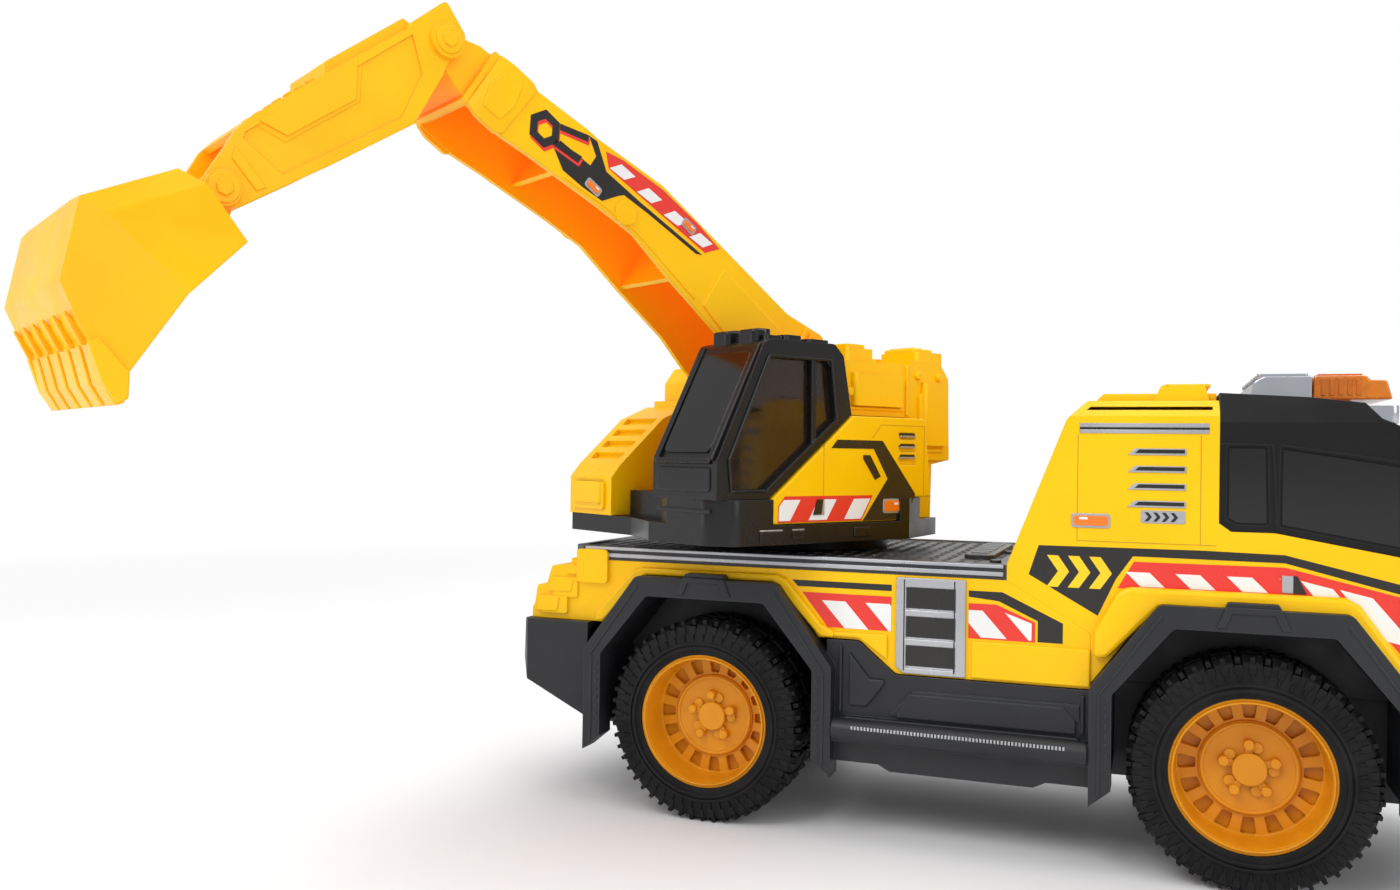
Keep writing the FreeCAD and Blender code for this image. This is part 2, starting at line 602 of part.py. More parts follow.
def make_battery_bay():
    """Flush door, its screw, the battery box above it and three cells."""
    door = new_body("battery_door")
    shape_add(door, "XY_Plane", rectangle(-DOOR_HALF_X, -DOOR_HALF_Y, DOOR_HALF_X, DOOR_HALF_Y, 1), "0",
              "D.door_thick")
    for number in range(5):
        x = -20 + 3 * number
        shape_cut(door, "XY_Plane", rectangle(x, -12, x + 1.4, 12), "-0.5", "0.5")
    disc_cut(door, "XY_Plane", DOOR_HALF_X - 5, 0, "D.screw_head + 0.2", "-1", "0.9")
    disc_cut(door, "XY_Plane", DOOR_HALF_X - 5, 0, "D.screw_shank + 0.2", "-1", "D.door_thick + 1")
    box = new_body("battery_box")
    shape_add(box, "XY_Plane", rectangle(-DOOR_HALF_X - 2.2, -26.9, DOOR_HALF_X + 2.2, 26.9, 1), "D.wall",
              "20")
    shape_cut(box, "XY_Plane", rectangle(-26.8, -24.4, 24.2, 24.4, 1), "D.wall - 1", "18.4")
    disc_cut(box, "XY_Plane", DOOR_HALF_X - 5, 0, "D.screw_shank + 0.1", "D.wall - 1", "12")
    x = DOOR_HALF_X - 5
    head = Part.makeCylinder(size("screw_head") / 2, 0.7, Vector(x, 0, 0.1))
    head = head.cut(Part.makeBox(3.6, 0.8, 0.4, Vector(x - 1.8, -0.4, 0)))
    shank = Part.makeCylinder(size("screw_shank") / 2, 10, Vector(x, 0, 0.7))
    group("door_screw", [head.fuse(shank).removeSplitter()])
    cells = []
    for y in (-15.5, 0, 15.5):
        start = Vector(-26.2, y, 10.4)
        can = Part.makeCylinder(size("cell_dia") / 2, size("cell_len") - 1, start, Vector(1, 0, 0))
        tip = Part.makeCylinder(2.7, 1, start + Vector(size("cell_len") - 1, 0, 0), Vector(1, 0, 0))
        cells.append(can.fuse(tip).removeSplitter())
    group("battery_cells", cells)


def make_electronics():
    board = new_body("circuit_board")
    shape_add(board, "XY_Plane", rectangle(-32, -22, 37, 22, 1), "20", "21.6")
    for x, y, long, wide, tall in ((-24, -14, 10, 10, 2), (-6, -8, 14, 9, 3), (14, 4, 8, 6, 7),
                                   (14, -16, 5, 5, 9)):
        shape_add(board, "XY_Plane", rectangle(x, y, x + long, y + wide), "21", "%g" % (21.6 + tall))
    speaker = new_body("speaker")
    disc_add(speaker, "XY_Plane", SPEAKER_X, 0, "20", "D.wall", "D.wall + 2")
    disc_add(speaker, "XY_Plane", SPEAKER_X, 0, "11", "D.wall + 1", "D.wall + 6")
    case = new_body("switch_case")
    shape_add(case, "XY_Plane", rectangle(SWITCH_X - 7, -7, SWITCH_X + 11, 7), "D.wall", "9")
    shape_cut(case, "XY_Plane", rectangle(SWITCH_X - 4.6, -4.6, SWITCH_X + 8.6, 4.6), "D.wall - 1", "3.3")
    slider = new_body("power_switch")
    shape_add(slider, "XY_Plane", rectangle(SWITCH_X - 4.4, -4.4, SWITCH_X + 4.4, 4.4), "D.wall + 0.1",
              "3.2")
    shape_add(slider, "XY_Plane", rectangle(SWITCH_X - 2, -2.7, SWITCH_X + 2, 2.7), "0.2", "D.wall + 0.6")
    for step in (-1.2, 0, 1.2):
        shape_cut(slider, "XY_Plane", rectangle(SWITCH_X + step - 0.3, -2, SWITCH_X + step + 0.3, 2),
                  "-0.5", "0.7")


def make_gear(body, teeth, low, high, start_angle=0.0):
    """Spur gear blank with slim straight flanked teeth, drawn around the body's Y axis."""
    module = size("gear_module")
    pitch = module * teeth / 2
    tip, root = pitch + 0.9 * module, pitch - 1.35 * module
    pitch_step = 2 * math.pi / teeth
    half_tip, half_root = 0.09 * pitch_step, 0.26 * pitch_step
    outline = []
    for number in range(teeth):
        middle = start_angle + number * pitch_step
        for radius, angle in ((root, -half_root), (tip, -half_tip), (tip, half_tip), (root, half_root)):
            outline.append((radius * math.cos(middle + angle), radius * math.sin(middle + angle)))
    return shape_add(body, "XZ_Plane", outline, low, high)


def make_drive():
    """Motor, pinion and two stage gear train on the rear axle."""
    slack = size("mesh_slack")
    module = size("gear_module")
    axle_teeth, small, large, pinion = (int(size(name)) for name in
                                        ("axle_teeth", "idler_small", "idler_large", "pinion_teeth"))
    first = module * (axle_teeth + small) / 2 + slack
    second = module * (large + pinion) / 2 + slack
    idler_x = -HALF_BASE + first * math.cos(IDLER_ANGLE)
    shaft_z = AXLE_Z + first * math.sin(IDLER_ANGLE)
    motor_x = idler_x + second

    gear = new_body("axle_gear", Placement(Vector(-HALF_BASE, 0, AXLE_Z), Rotation()))
    make_gear(gear, axle_teeth, "4.8", "8.4", IDLER_ANGLE)
    disc_cut(gear, "XZ_Plane", 0, 0, "D.axle_dia", "0", "12")

    idler = new_body("idler_gear", Placement(Vector(idler_x, 0, shaft_z), Rotation()))
    make_gear(idler, large, "0.4", "3.8", 0.0)
    half_step = math.pi / small
    make_gear(idler, small, "3.6", "8.8", IDLER_ANGLE + math.pi + half_step)
    disc_cut(idler, "XZ_Plane", 0, 0, "2", "0", "12")
    shaft = new_body("idler_shaft", Placement(Vector(idler_x, 0, shaft_z), Rotation()))
    disc_add(shaft, "XZ_Plane", 0, 0, "2", "-2.6", "11.6")

    drive = new_body("motor_pinion", Placement(Vector(motor_x, 0, shaft_z), Rotation()))
    make_gear(drive, pinion, "0.4", "3.8", math.pi + math.pi / pinion)
    disc_add(drive, "XZ_Plane", 0, 0, "1.6", "-4.6", "1")
    motor = new_body("drive_motor", Placement(Vector(motor_x, 0, shaft_z), Rotation()))
    disc_add(motor, "XZ_Plane", 0, 0, "15.4", "-25", "-3.2")
    disc_add(motor, "XZ_Plane", 0, 0, "5", "-26.5", "-24")
    disc_cut(motor, "XZ_Plane", 0, 0, "1.6 + 2 * D.running_gap", "-5", "0")

    box = new_body("gearbox")
    shape_add(box, "XZ_Plane", rectangle(-98, 2, -58, 25.5, 2), "-3.2", "12")
    shape_cut(box, "XZ_Plane", rectangle(-96, 0, -60, 24), "-1.2", "10")
    disc_cut(box, "XZ_Plane", -HALF_BASE, AXLE_Z, "D.axle_dia + 2 * D.running_gap", "-5", "14")
    disc_cut(box, "XZ_Plane", idler_x, shaft_z, "2 + 2 * D.running_gap", "-5", "14")
    disc_cut(box, "XZ_Plane", motor_x, shaft_z, "1.6 + 2 * D.running_gap", "-5", "-1")


# ---------------------------------------------------------------- digger upper part
DIGGER = Placement(Vector(size("slew_x"), 0, 0), Rotation(Vector(0, 0, 1), size("slew_rest")))
ARM_Y = size("arm_offset")
TOP = size("turn_top")
STEP = size("step_top")


def make_turntable():
    """Black base of the digger: a wide plate on a ring, with a hub through the deck."""
    body = new_body("turntable", DIGGER)
    plan = [(68, -50), (68, -11), (77, 12), (77, 42, 4), (70, 50, 4), (-13, 50), (-42, 38), (-42, -38),
            (-13, -50)]
    shape_add(body, "XY_Plane", plan, "D.turn_under", "D.turn_top")
    disc_add(body, "XY_Plane", 0, 0, "76", "D.deck_top + 0.3", "D.turn_under + 1")
    disc_cut(body, "XY_Plane", 0, 0, "60", "D.deck_top - 1", "D.turn_under")
    disc_add(body, "XY_Plane", 0, 0, "D.hub_dia", "D.deck_under - 2.2", "D.turn_under + 1")
    shape_add(body, "XY_Plane", [(54, 14), (73, 14), (77, 22), (77, 42, 4), (70, 50, 4), (54, 50)],
              "D.turn_top - 1",
              "D.step_top")
    shape_add(body, "XY_Plane", [(-13, 50), (-24, 45.5), (-24, 20), (-8, 20), (-8, 50)], "D.turn_top - 1",
              "D.step_top - 0.2")
    shape_add(body, "XY_Plane", rectangle(50, -20, 62, 12), "D.turn_top - 1", "D.step_top + 1")
    disc_cut(body, "XY_Plane", 0, 0, "D.screw_shank + 0.1", "D.deck_under - 4", "D.turn_top - 2")


def make_slew_joint():
    """Washer and screw that hold the hub from below the deck."""
    hub_foot = size("deck_under") - 2.2
    washer = Part.makeCylinder(13, 1.2, Vector(0, 0, hub_foot - 1.2))
    washer = washer.cut(Part.makeCylinder(size("screw_shank") / 2 + 0.1, 4, Vector(0, 0, hub_foot - 3)))
    group("slew_washer", [washer], DIGGER)
    head = Part.makeCylinder(size("screw_head") / 2, 1.8, Vector(0, 0, hub_foot - 3))
    head = head.cut(Part.makeBox(3.6, 0.8, 0.8, Vector(-1.8, -0.4, hub_foot - 3)))
    shank = Part.makeCylinder(size("screw_shank") / 2, 14, Vector(0, 0, hub_foot - 1.5))
    group("slew_screw", [head.fuse(shank).removeSplitter()], DIGGER)


def make_cabin():
    """Operator cabin: dark shell with open windows, tinted glass and a seat."""
    roof = size("cabin_roof")
    shell = new_body("cabin_shell", DIGGER)
    outline = [(77, STEP), (77, 101.5, 3), (57, roof - 1, 4), (52, roof, 2), (24.5, roof, 3),
               (20, 138.5, 2),
               (15.8, 118.4), (53.8, 89.7), (53.8, STEP)]
    inner = [(74.8, STEP + 2), (74.8, 101.5), (55.5, 140.2), (25.5, 140.2), (22, 138), (18.3, 119.5),
             (56.5, 90.8)]
    shape_add(shell, "XZ_Plane", outline, "D.cabin_inner", "D.cabin_outer")
    shape_cut(shell, "XZ_Plane", inner, "D.cabin_inner + D.wall", "D.cabin_outer - D.wall")
    side_window = [(70.5, 92.2, 1.5), (71.5, 101.8, 2), (54.8, 136.2, 3), (26.6, 136.2, 3),
                   (23.9, 116.4, 2),
                   (55.9, 92.2, 2)]
    shape_cut(shell, "XZ_Plane", side_window, "D.cabin_outer - 3", "D.cabin_outer + 1")
    for u_low, u_high, v_low, v_high, high in ((24, 34, 17, 45, 1.4), (36, 44, 18, 44, 2.2),
                                               (46, 54, 17, 45, 1.4)):
        shape_add(shell, "XY_Plane", rectangle(u_low, v_low, u_high, v_high, 1.5), "D.cabin_roof - 0.5",
                  "D.cabin_roof + %g" % high)
    for v in (22, 34):
        shape_add(shell, "XY_Plane", rectangle(47, v, 53, v + 6, 1), "D.cabin_roof + 1", "D.cabin_roof + 4")
    glass = new_body("cabin_glass", DIGGER)
    pane = [(71.6, 91.5), (72.6, 101.9), (55.6, 137.2), (25.8, 137.2), (22.9, 116.6), (56, 91.5)]
    shape_add(glass, "XZ_Plane", pane, "D.cabin_outer - D.wall - 1.2", "D.cabin_outer - D.wall")
    seat = new_body("cabin_seat", DIGGER)
    shape_add(seat, "XZ_Plane", [(57, STEP + 2.1), (72, STEP + 2.1), (72, 96, 1), (49, 102, 1.5),
                                 (45, 128, 2),
                                 (38, 128, 2), (40.5, 104.5)], "20", "40")


def make_side_panel():
    """Yellow engine cover behind the cabin, cut back under its sloping front."""
    body = new_body("side_panel", DIGGER)
    roof_line = 117.9
    outline = [(53.6, STEP + 0.1), (53.6, TOP + 0.2, 1), (-7.9, TOP + 0.2), (-7.9, STEP + 0.1),
               (-26, STEP + 0.1),
               (-22.5, roof_line, 2), (15.6, roof_line)]
    shape_add(body, "XZ_Plane", outline, "D.cabin_inner", "D.cabin_outer + 1")
    hollow = [(44, TOP - 1), (44, 92), (14, 115), (-20, 115), (-22.6, 92), (-5.9, 92), (-5.9, TOP - 1)]
    shape_cut(body, "XZ_Plane", hollow, "D.cabin_inner + D.wall", "D.cabin_outer - 1")
    for number in range(3):
        z = 101 + 4.6 * number
        shape_cut(body, "XZ_Plane", [(-17, z), (-9, z), (-8, z + 2), (-16, z + 2)], "D.cabin_outer",
                  "D.cabin_outer + 2")


def make_rear_housing():
    """Yellow rear mass: a stepped block across the back with a wing on each side."""
    body = new_body("rear_housing", DIGGER)
    roof = 140
    back = [(-24.3, TOP + 0.1), (-38, TOP + 0.1), (-38.5, 101), (-47, 102.5, 1), (-46, 134), (-41, roof, 3),
            (-24.3, roof)]
    shape_add(body, "XZ_Plane", back, "D.hood_outer + 12", "D.cabin_outer - 9.5")
    shape_add(body, "XZ_Plane", [(-47, 102.5, 1), (-46, 134), (-41, roof, 3), (-24.3, roof),
                                 (-24.3, 102.5)],
              "-46", "40")
    near_wing = [(-25, 118.5), (13, 118.5), (15.4, 121), (16.9, 128, 2), (14, 131), (12, 138.4, 2),
                 (-25, 138.4)]
    shape_add(body, "XZ_Plane", near_wing, "17", "40")
    far_wing = [(-25, TOP + 0.1), (19.6, TOP + 0.1), (19.6, 124), (27, 124), (27, 132, 2), (22, 138.4, 2),
                (-25, 138.4)]
    shape_add(body, "XZ_Plane", far_wing, "-46", "-23")
    for v_low, v_high, u_low, u_high, low, high in (
            (19, 38, -45, -30, 139, 144), (22, 36, -8, 6, 137, 143.4), (-20, 14, -42, -32, 139, 142.6),
            (-42, -26, -20, 10, 137, 142), (39.5, 42.5, -44, -30, 108, 132),
            (39.5, 42.5, -18, 8, 122, 134)):
        shape_add(body, "XY_Plane", rectangle(u_low, v_low, u_high, v_high, 1.2), "%g" % low, "%g" % high)
    shape_add(body, "YZ_Plane", rectangle(8, 106, 32, 132, 2), "-49", "-45")
    for number in range(3):
        z = 108 + 6 * number
        shape_cut(body, "YZ_Plane", rectangle(-34, z, 2, z + 2.6), "-48", "-45.5")
    shape_cut(body, "XZ_Plane", rectangle(-26.6, STEP, -20, 118.2), "D.cabin_inner - 0.3",
              "D.cabin_outer + 2")


def make_hood():
    """Stepped yellow cover on the far side of the arm with a ladder-like slope."""
    body = new_body("hood", DIGGER)
    outline = [(69, TOP + 0.1), (69, 94.5, 1.5), (65, 99.3), (45.5, 117), (33, 122.3, 2), (20, 123),
               (20, TOP + 0.1)]
    shape_add(body, "XZ_Plane", outline, "D.hood_outer", "-22.4")
    normal_u, normal_z = 0.672, 0.741
    for number in range(4):
        u, z = 62.6 - 4.9 * number, 101.5 + 4.45 * number
        along_u, along_z = -0.741, 0.672
        depth, long = 1.8, 3.6
        slot = [(u + 3 * normal_u, z + 3 * normal_z),
                (u - depth * normal_u, z - depth * normal_z),
                (u - depth * normal_u + long * along_u, z - depth * normal_z + long * along_z),
                (u + 3 * normal_u + long * along_u, z + 3 * normal_z + long * along_z)]
        shape_cut(body, "XZ_Plane", slot, "D.hood_outer + 4", "-26.5")
    shape_add(body, "XY_Plane", rectangle(60, -46, 71, -27, 1.5), "85", "93")
    shape_add(body, "XY_Plane", rectangle(27.6, -46, 33, -27, 1.5), "119", "124.6")


def make_boom_bracket():
    """Foot of the boom: a base block with two cheeks that hold the boom pin."""
    foot_x, foot_z = size("foot_x"), size("foot_z")
    body = new_body("boom_bracket", DIGGER)
    shape_add(body, "XY_Plane", rectangle(-20, ARM_Y - 13.6, 34, ARM_Y + 13.6, 2), "D.turn_top",
              "D.turn_top + 6")
    cheek = [(foot_x - 18, TOP + 4), (foot_x + 20, TOP + 4), (foot_x + 7, foot_z + 2, 4),
             (foot_x + 4, foot_z + 7, 4),
             (foot_x - 4, foot_z + 7, 4), (foot_x - 7, foot_z + 2, 4)]
    for low, high in ((-13.6, -9.6), (9.6, 13.6)):
        shape_add(body, "XZ_Plane", cheek, "%g" % (ARM_Y + low), "%g" % (ARM_Y + high))
    disc_cut(body, "XZ_Plane", foot_x, foot_z, "D.pin_dia + 2 * D.running_gap", "-30", "30")


# ---------------------------------------------------------------- arm
def link_place(parent, along, angle):
    """A frame on a parent link: moved along its x, then tilted up by an angle."""
    return parent.multiply(Placement(Vector(along, 0, 0), Rotation(Vector(0, 1, 0), -angle)))


FOOT = DIGGER.multiply(Placement(Vector(size("foot_x"), ARM_Y, size("foot_z")), Rotation()))
BOOM = link_place(FOOT, 0, size("boom_angle"))
STICK = link_place(BOOM, size("boom_len"), size("stick_angle") - size("boom_angle"))
BUCKET = link_place(STICK, size("stick_len"), -size("stick_angle"))


def make_boom():
    """Box section boom, open below, with two inner ribs and a narrower tip."""
    body = new_body("boom", BOOM)
    tip_start = 169.0
    outline = [(-11, -7, 5), (-10, 14, 6), (7, 24.4, 3), (26, 20), (66, 20), (97, 19.7), (126, 14.2),
               (130, 14),
               (152, 10.4), (tip_start, 9.8), (tip_start, -10.4), (153, -10.3, 1), (142, -8.2),
               (112.7, -3.7),
               (96.8, -1.9), (75, -4.6), (49.6, -6.6), (33.7, -10.3), (10, -12, 5)]
    shape_add(body, "XZ_Plane", outline, "-D.boom_half", "D.boom_half")
    inner = [(-30, -30), (-30, 8), (-7, 12.6), (6.6, 22), (26, 18), (66, 18), (97, 17.7), (126, 12.2),
             (152, 8.4),
             (tip_start - 2, 7.9), (tip_start - 2, -30)]
    shape_cut(body, "XZ_Plane", inner, "-D.boom_half + D.skin", "D.boom_half - D.skin")
    for x, high in ((75, 18.5), (130, 12.5)):
        shape_add(body, "XZ_Plane", [(x - 0.9, -3.4), (x + 0.9, -3.4), (x + 0.9, high), (x - 0.9, high)],
                  "-D.boom_half + D.skin / 2", "D.boom_half - D.skin / 2")
    tip = [(tip_start - 3, 9.4), (173, 8.6), (180, 5.4), (187.6, 3, 2.4), (187.6, -3, 2.4), (180, -5.2),
           (tip_start - 3, -9.4)]
    shape_add(body, "XZ_Plane", tip, "-D.tip_half", "D.tip_half")
    core = [(tip_start - 4, 6.6), (177, 4.2), (177, -4.2), (tip_start - 4, -6.6)]
    shape_cut(body, "XZ_Plane", core, "-11", "11")
    collar = [(153, -9.8), (155, -11.4, 1), (163, -11.6, 1), (167, -10.4), (167, 9.8), (162, 10.8, 1),
              (154, 11.2, 1),
              (151.5, 10.2)]
    for low, high in (("-D.boom_half - 0.8", "-D.boom_half + 1"), ("D.boom_half - 1", "D.boom_half + 0.8")):
        shape_add(body, "XZ_Plane", collar, low, high)
    disc_cut(body, "XZ_Plane", 0, 0, "D.pin_dia", "-30", "30")
    disc_cut(body, "XZ_Plane", size("boom_len"), 0, "D.pin_dia + 2 * D.running_gap", "-30", "30")


def make_stick():
    """Stick: two cheeks, a top skin with a raised spine, forked at both ends."""
    body = new_body("stick", STICK)
    reach = size("stick_len")
    outline = [(-7.5, 9.6, 1.5), (6.3, 9.6), (8, 8.7), (38, 10.3), (65, 11.1), (71.4, 10.3), (76.5, 8.3),
               (82, 6.4, 2), (90, 3.4, 3), (90, -3.4, 3), (84, -6.2, 2), (75.7, -7.4), (54.7, -10.5),
               (25, -14.1),
               (7.4, -7.4), (4.7, -5.8), (-6.7, -2, 2)]
    shape_add(body, "XZ_Plane", outline, "-D.stick_half", "D.stick_half")
    hollow = [(-12, 7.7), (6.3, 7.7), (8, 6.8), (38, 8.3), (65, 9.1), (70, 8.6), (70, 20), (100, 20),
              (100, -30),
              (-12, -30)]
    shape_cut(body, "XZ_Plane", hollow, "-D.tip_half - 0.4", "D.tip_half + 0.4")
    shape_add(body, "XZ_Plane", [(40, -9), (42, -9), (42, 9), (40, 9)], "-D.tip_half - 1", "D.tip_half + 1")
    spine = [(5, 8), (6.5, 11.8, 1), (36, 13.0, 1), (39, 9)]
    shape_add(body, "XZ_Plane", spine, "-D.stick_half + 3.5", "D.stick_half - 3.5")
    recess = [(71, 7.6), (69.5, 8.6), (8.8, 6.6), (13.4, -4), (27, -10.6), (67.9, -5.6)]
    raised = [(64.3, 9.4), (28.7, 8.8), (36.1, 0.2), (60.1, 2)]
    for side in (-1, 1):
        shape_cut(body, "XZ_Plane", recess, *side_span(side, "D.stick_half - 0.6", "D.stick_half + 1"))
        shape_add(body, "XZ_Plane", raised, *side_span(side, "D.stick_half - 0.9", "D.stick_half + 0.1"))
        for x, radius in ((0, 5.4), (reach, 5.0)):
            disc_add(body, "XZ_Plane", x, 0, "%g" % (2 * radius),
                     *side_span(side, "D.stick_half - 1", "D.stick_half + 1.6"))
    for x in (0, reach):
        disc_cut(body, "XZ_Plane", x, 0, "D.pin_dia", "-30", "30")


def make_bucket():
    """Scoop with a raised middle, two lugs on the pin and a ribbed digging lip."""
    body = new_body("bucket", BUCKET)
    front = [(41.9, -30.9), (37.6, -40.6), (34.6, -45.2), (26.9, -51.6)]
    middle = [(6.8, -1.7), (14.0, 1.2), (38.0, -10.2)] + front + [(13.4, -31.9), (-3.6, -15.2)]
    side_face = [(31.5, -14.4), (32.6, -13.6), (38.0, -10.7)] + front + [(13.6, -31.4), (13.0, -30.8)]
    shape_add(body, "XZ_Plane", middle, "-D.crown_half", "D.crown_half")
    for side in (-1, 1):
        loft(body, "XZ_Plane", middle, "%d * (D.crown_half - 0.01)" % side, side_face,
             "%d * D.bucket_half" % side)
    mouth = [(25.3, -50.6), (19, -62), (8, -44), (14.4, -32.6)]
    front_room = [(33.2, -15.6), (36.5, -13.2), (39.8, -31.2), (35.8, -39.7), (33, -43.9)] + mouth
    shape_cut(body, "XZ_Plane", front_room, "-D.bucket_half + D.skin", "D.bucket_half - D.skin")
    rear_room = [(8.6, -3.8), (14.2, -1.1), (36.5, -12.0), (36, -34), (8, -44), (-24, -34), (-2.6, -17.6)]
    shape_cut(body, "XZ_Plane", rear_room, "-D.crown_half + 1", "D.crown_half - 1")
    half = size("bucket_half")
    tooth = [(34.9, -44.6), (32.4, -54), (29.4, -59.3), (27.6, -58.4), (26.7, -50)]
    lip = [(33.9, -45.4), (31.8, -53.4), (29.2, -57.8), (27.6, -57.6), (26.9, -50.6)]
    shape_add(body, "XZ_Plane", lip, "-D.bucket_half", "D.bucket_half")
    width, count = 9.6, 6
    for number in range(count):
        centre = (half - width / 2) * (2 * number / (count - 1) - 1)
        shape_add(body, "XZ_Plane", tooth, "%g" % (centre - width / 2), "%g" % (centre + width / 2))
    lug = [(-4.6, -1), (-3.4, 3.2, 2), (2.6, 4, 2), (12, -3.6), (11, -6), (1.6, -14.6), (-0.4, -14.6)]
    for low, high in ((-14.4, -11), (11, 14.4)):
        shape_add(body, "XZ_Plane", lug, "%g" % low, "%g" % high)
        disc_add(body, "XZ_Plane", 0, 0, "10", "%g" % low, "%g" % high)
    disc_cut(body, "XZ_Plane", 0, 0, "D.pin_dia + 2 * D.running_gap", "-16", "16")


def make_pin(label, place, along, half):
    """Pivot pin with a shallow head at each end."""
    body = new_body(label, place.multiply(Placement(Vector(along, 0, 0), Rotation())))
    disc_add(body, "XZ_Plane", 0, 0, "D.pin_dia", "-(%s)" % half, half)


def build():
    make_chassis()
    make_screws()
    make_battery_bay()
    make_electronics()
    make_drive()
    for side_name, side in SIDES.items():
        make_side_trim("side_trim_" + side_name, side)
        make_headlight("headlight_" + side_name, side)
        make_ladder("ladder_" + side_name, side)
    make_rear_bumper()
    make_front_bumper()
    make_rear_body()
    make_deck_plate()
    make_cab_body()
    make_canopy()
    make_roof_block()
    make_light_bar()
    make_beacon_button()
    make_grille()
    for axle, x in AXLES.items():
        make_axle(axle + "_axle", x)
        for side_name, side in SIDES.items():
            place = wheel_place(axle, side)
            make_rim("rim_%s_%s" % (axle, side_name), place)
            make_tyre("tyre_%s_%s" % (axle, side_name), place)
    make_turntable()
    make_slew_joint()
    make_cabin()
    make_side_panel()
    make_rear_housing()
    make_hood()
    make_boom_bracket()
    make_boom()
    make_stick()
    make_bucket()
    make_pin("boom_pin", BOOM, 0, "D.boom_half + 1")
    make_pin("elbow_pin", STICK, 0, "D.stick_half + 1.6")
    make_pin("bucket_pin", STICK, size("stick_len"), "D.stick_half + 1.6")


def check_and_write():
    """Stops on a failed object or an invalid solid, then writes one STEP file a part."""
    DOC.recompute()
    for item in DOC.Objects:
        if "Invalid" in item.State or "Error" in item.State:
            raise RuntimeError("%s failed: %s" % (item.Label, item.State))
    os.makedirs("parts", exist_ok=True)
    for item in PARTS:
        shape = item.Shape
        if shape.isNull() or not shape.isValid() or not shape.Solids:
            raise RuntimeError("%s has no valid solid" % item.Label)
        shape.exportStep("parts/%s.step" % item.Label)


build()
check_and_write()
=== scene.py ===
"""Looks of the toy excavator truck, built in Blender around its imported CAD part.

Lengths are written in millimetres and scaled once, when a mesh is made. Outlines
are drawn in a plane frame: (a, b) in the plane and c along its outward normal.
"""
import bpy
import bmesh
import json
import math
from mathutils import Matrix, Vector


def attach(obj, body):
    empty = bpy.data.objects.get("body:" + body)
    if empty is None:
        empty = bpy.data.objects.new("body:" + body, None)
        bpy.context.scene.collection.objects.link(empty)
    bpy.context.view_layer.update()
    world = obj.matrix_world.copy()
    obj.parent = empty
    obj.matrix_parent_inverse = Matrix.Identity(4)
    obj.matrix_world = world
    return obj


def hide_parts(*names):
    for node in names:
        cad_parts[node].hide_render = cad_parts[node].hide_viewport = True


MM = 0.001
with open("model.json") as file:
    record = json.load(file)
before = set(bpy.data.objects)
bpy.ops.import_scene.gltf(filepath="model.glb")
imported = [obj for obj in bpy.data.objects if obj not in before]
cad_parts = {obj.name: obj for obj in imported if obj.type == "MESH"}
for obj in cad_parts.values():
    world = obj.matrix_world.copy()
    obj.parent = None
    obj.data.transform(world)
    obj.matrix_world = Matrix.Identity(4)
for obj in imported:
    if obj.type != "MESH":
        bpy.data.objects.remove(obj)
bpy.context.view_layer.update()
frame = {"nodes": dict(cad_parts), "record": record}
NODES = frame["nodes"]
RECORD = frame["record"]
SLOT_OF = {item["node"]: item["material_slot"] for item in RECORD["subparts"]}
BODY_OF = {node: body for body, nodes in RECORD["behaviour"]["bodies"].items() for node in nodes}
JOINTS = {joint["name"]: joint for joint in RECORD["behaviour"]["joints"]}


# ------------------------------------------------------------------ places
def axes_matrix(origin, a_axis, b_axis, c_axis):
    """A frame whose columns are the two drawing directions and the outward one."""
    matrix = Matrix.Identity(4)
    for column, axis in enumerate((a_axis, b_axis, c_axis)):
        matrix.col[column].xyz = axis
    matrix.translation = Vector(origin)
    return matrix


SLEW = math.radians(-120)
FORWARD = Vector((math.cos(SLEW), math.sin(SLEW), 0))
LEFT = Vector((-math.sin(SLEW), math.cos(SLEW), 0))
UP = Vector((0, 0, 1))
SLEW_FOOT = Vector((JOINTS["slew"]["pos_m"][0], 0, 0))
BOOM_FOOT = Vector(JOINTS["boom_lift"]["pos_m"])
ELBOW = Vector(JOINTS["stick_fold"]["pos_m"])
BUCKET_PIN = Vector(JOINTS["bucket_curl"]["pos_m"])
HALF_WIDTH = 52.0
BOOM_HALF = 17.0
STICK_HALF = 17.3
HEX = math.radians(60)
TYRE_RADIUS = 35.0
TYRE_FACE = 59.0
RIM_FACE = 48.0
LUG_COUNT = 52
SLEW_X = -74.0
BASE_RADIUS = 36.0
# Reach of the occlusion that finds hollows, and strength of the painted emission glow given to them.
HOLLOW_REACH = 40.0
PAINTED_HOLLOW_GLOW = 0.22


def side_plane(side, at=HALF_WIDTH):
    return axes_matrix((0, side * at * MM, 0), (1, 0, 0), (0, 0, 1), (0, side, 0))


def digger_plane(v):
    """Plane at v along the digger's left direction, looked at from that side."""
    facing = LEFT if v > 0 else -LEFT
    return axes_matrix(SLEW_FOOT + LEFT * v * MM, FORWARD, UP, facing)


def link_plane(start, end, side, half):
    """Side face of an arm link: a runs from its first pin to its second."""
    along = (end - start).normalized()
    above = LEFT.cross(along) * -1
    if above.z < 0:
        above = -above
    return axes_matrix(start + LEFT * side * half * MM, along, above, LEFT * side)


def digger_solid():
    """The digger's own frame: a forward, b left, c up."""
    return axes_matrix(SLEW_FOOT, FORWARD, LEFT, UP)


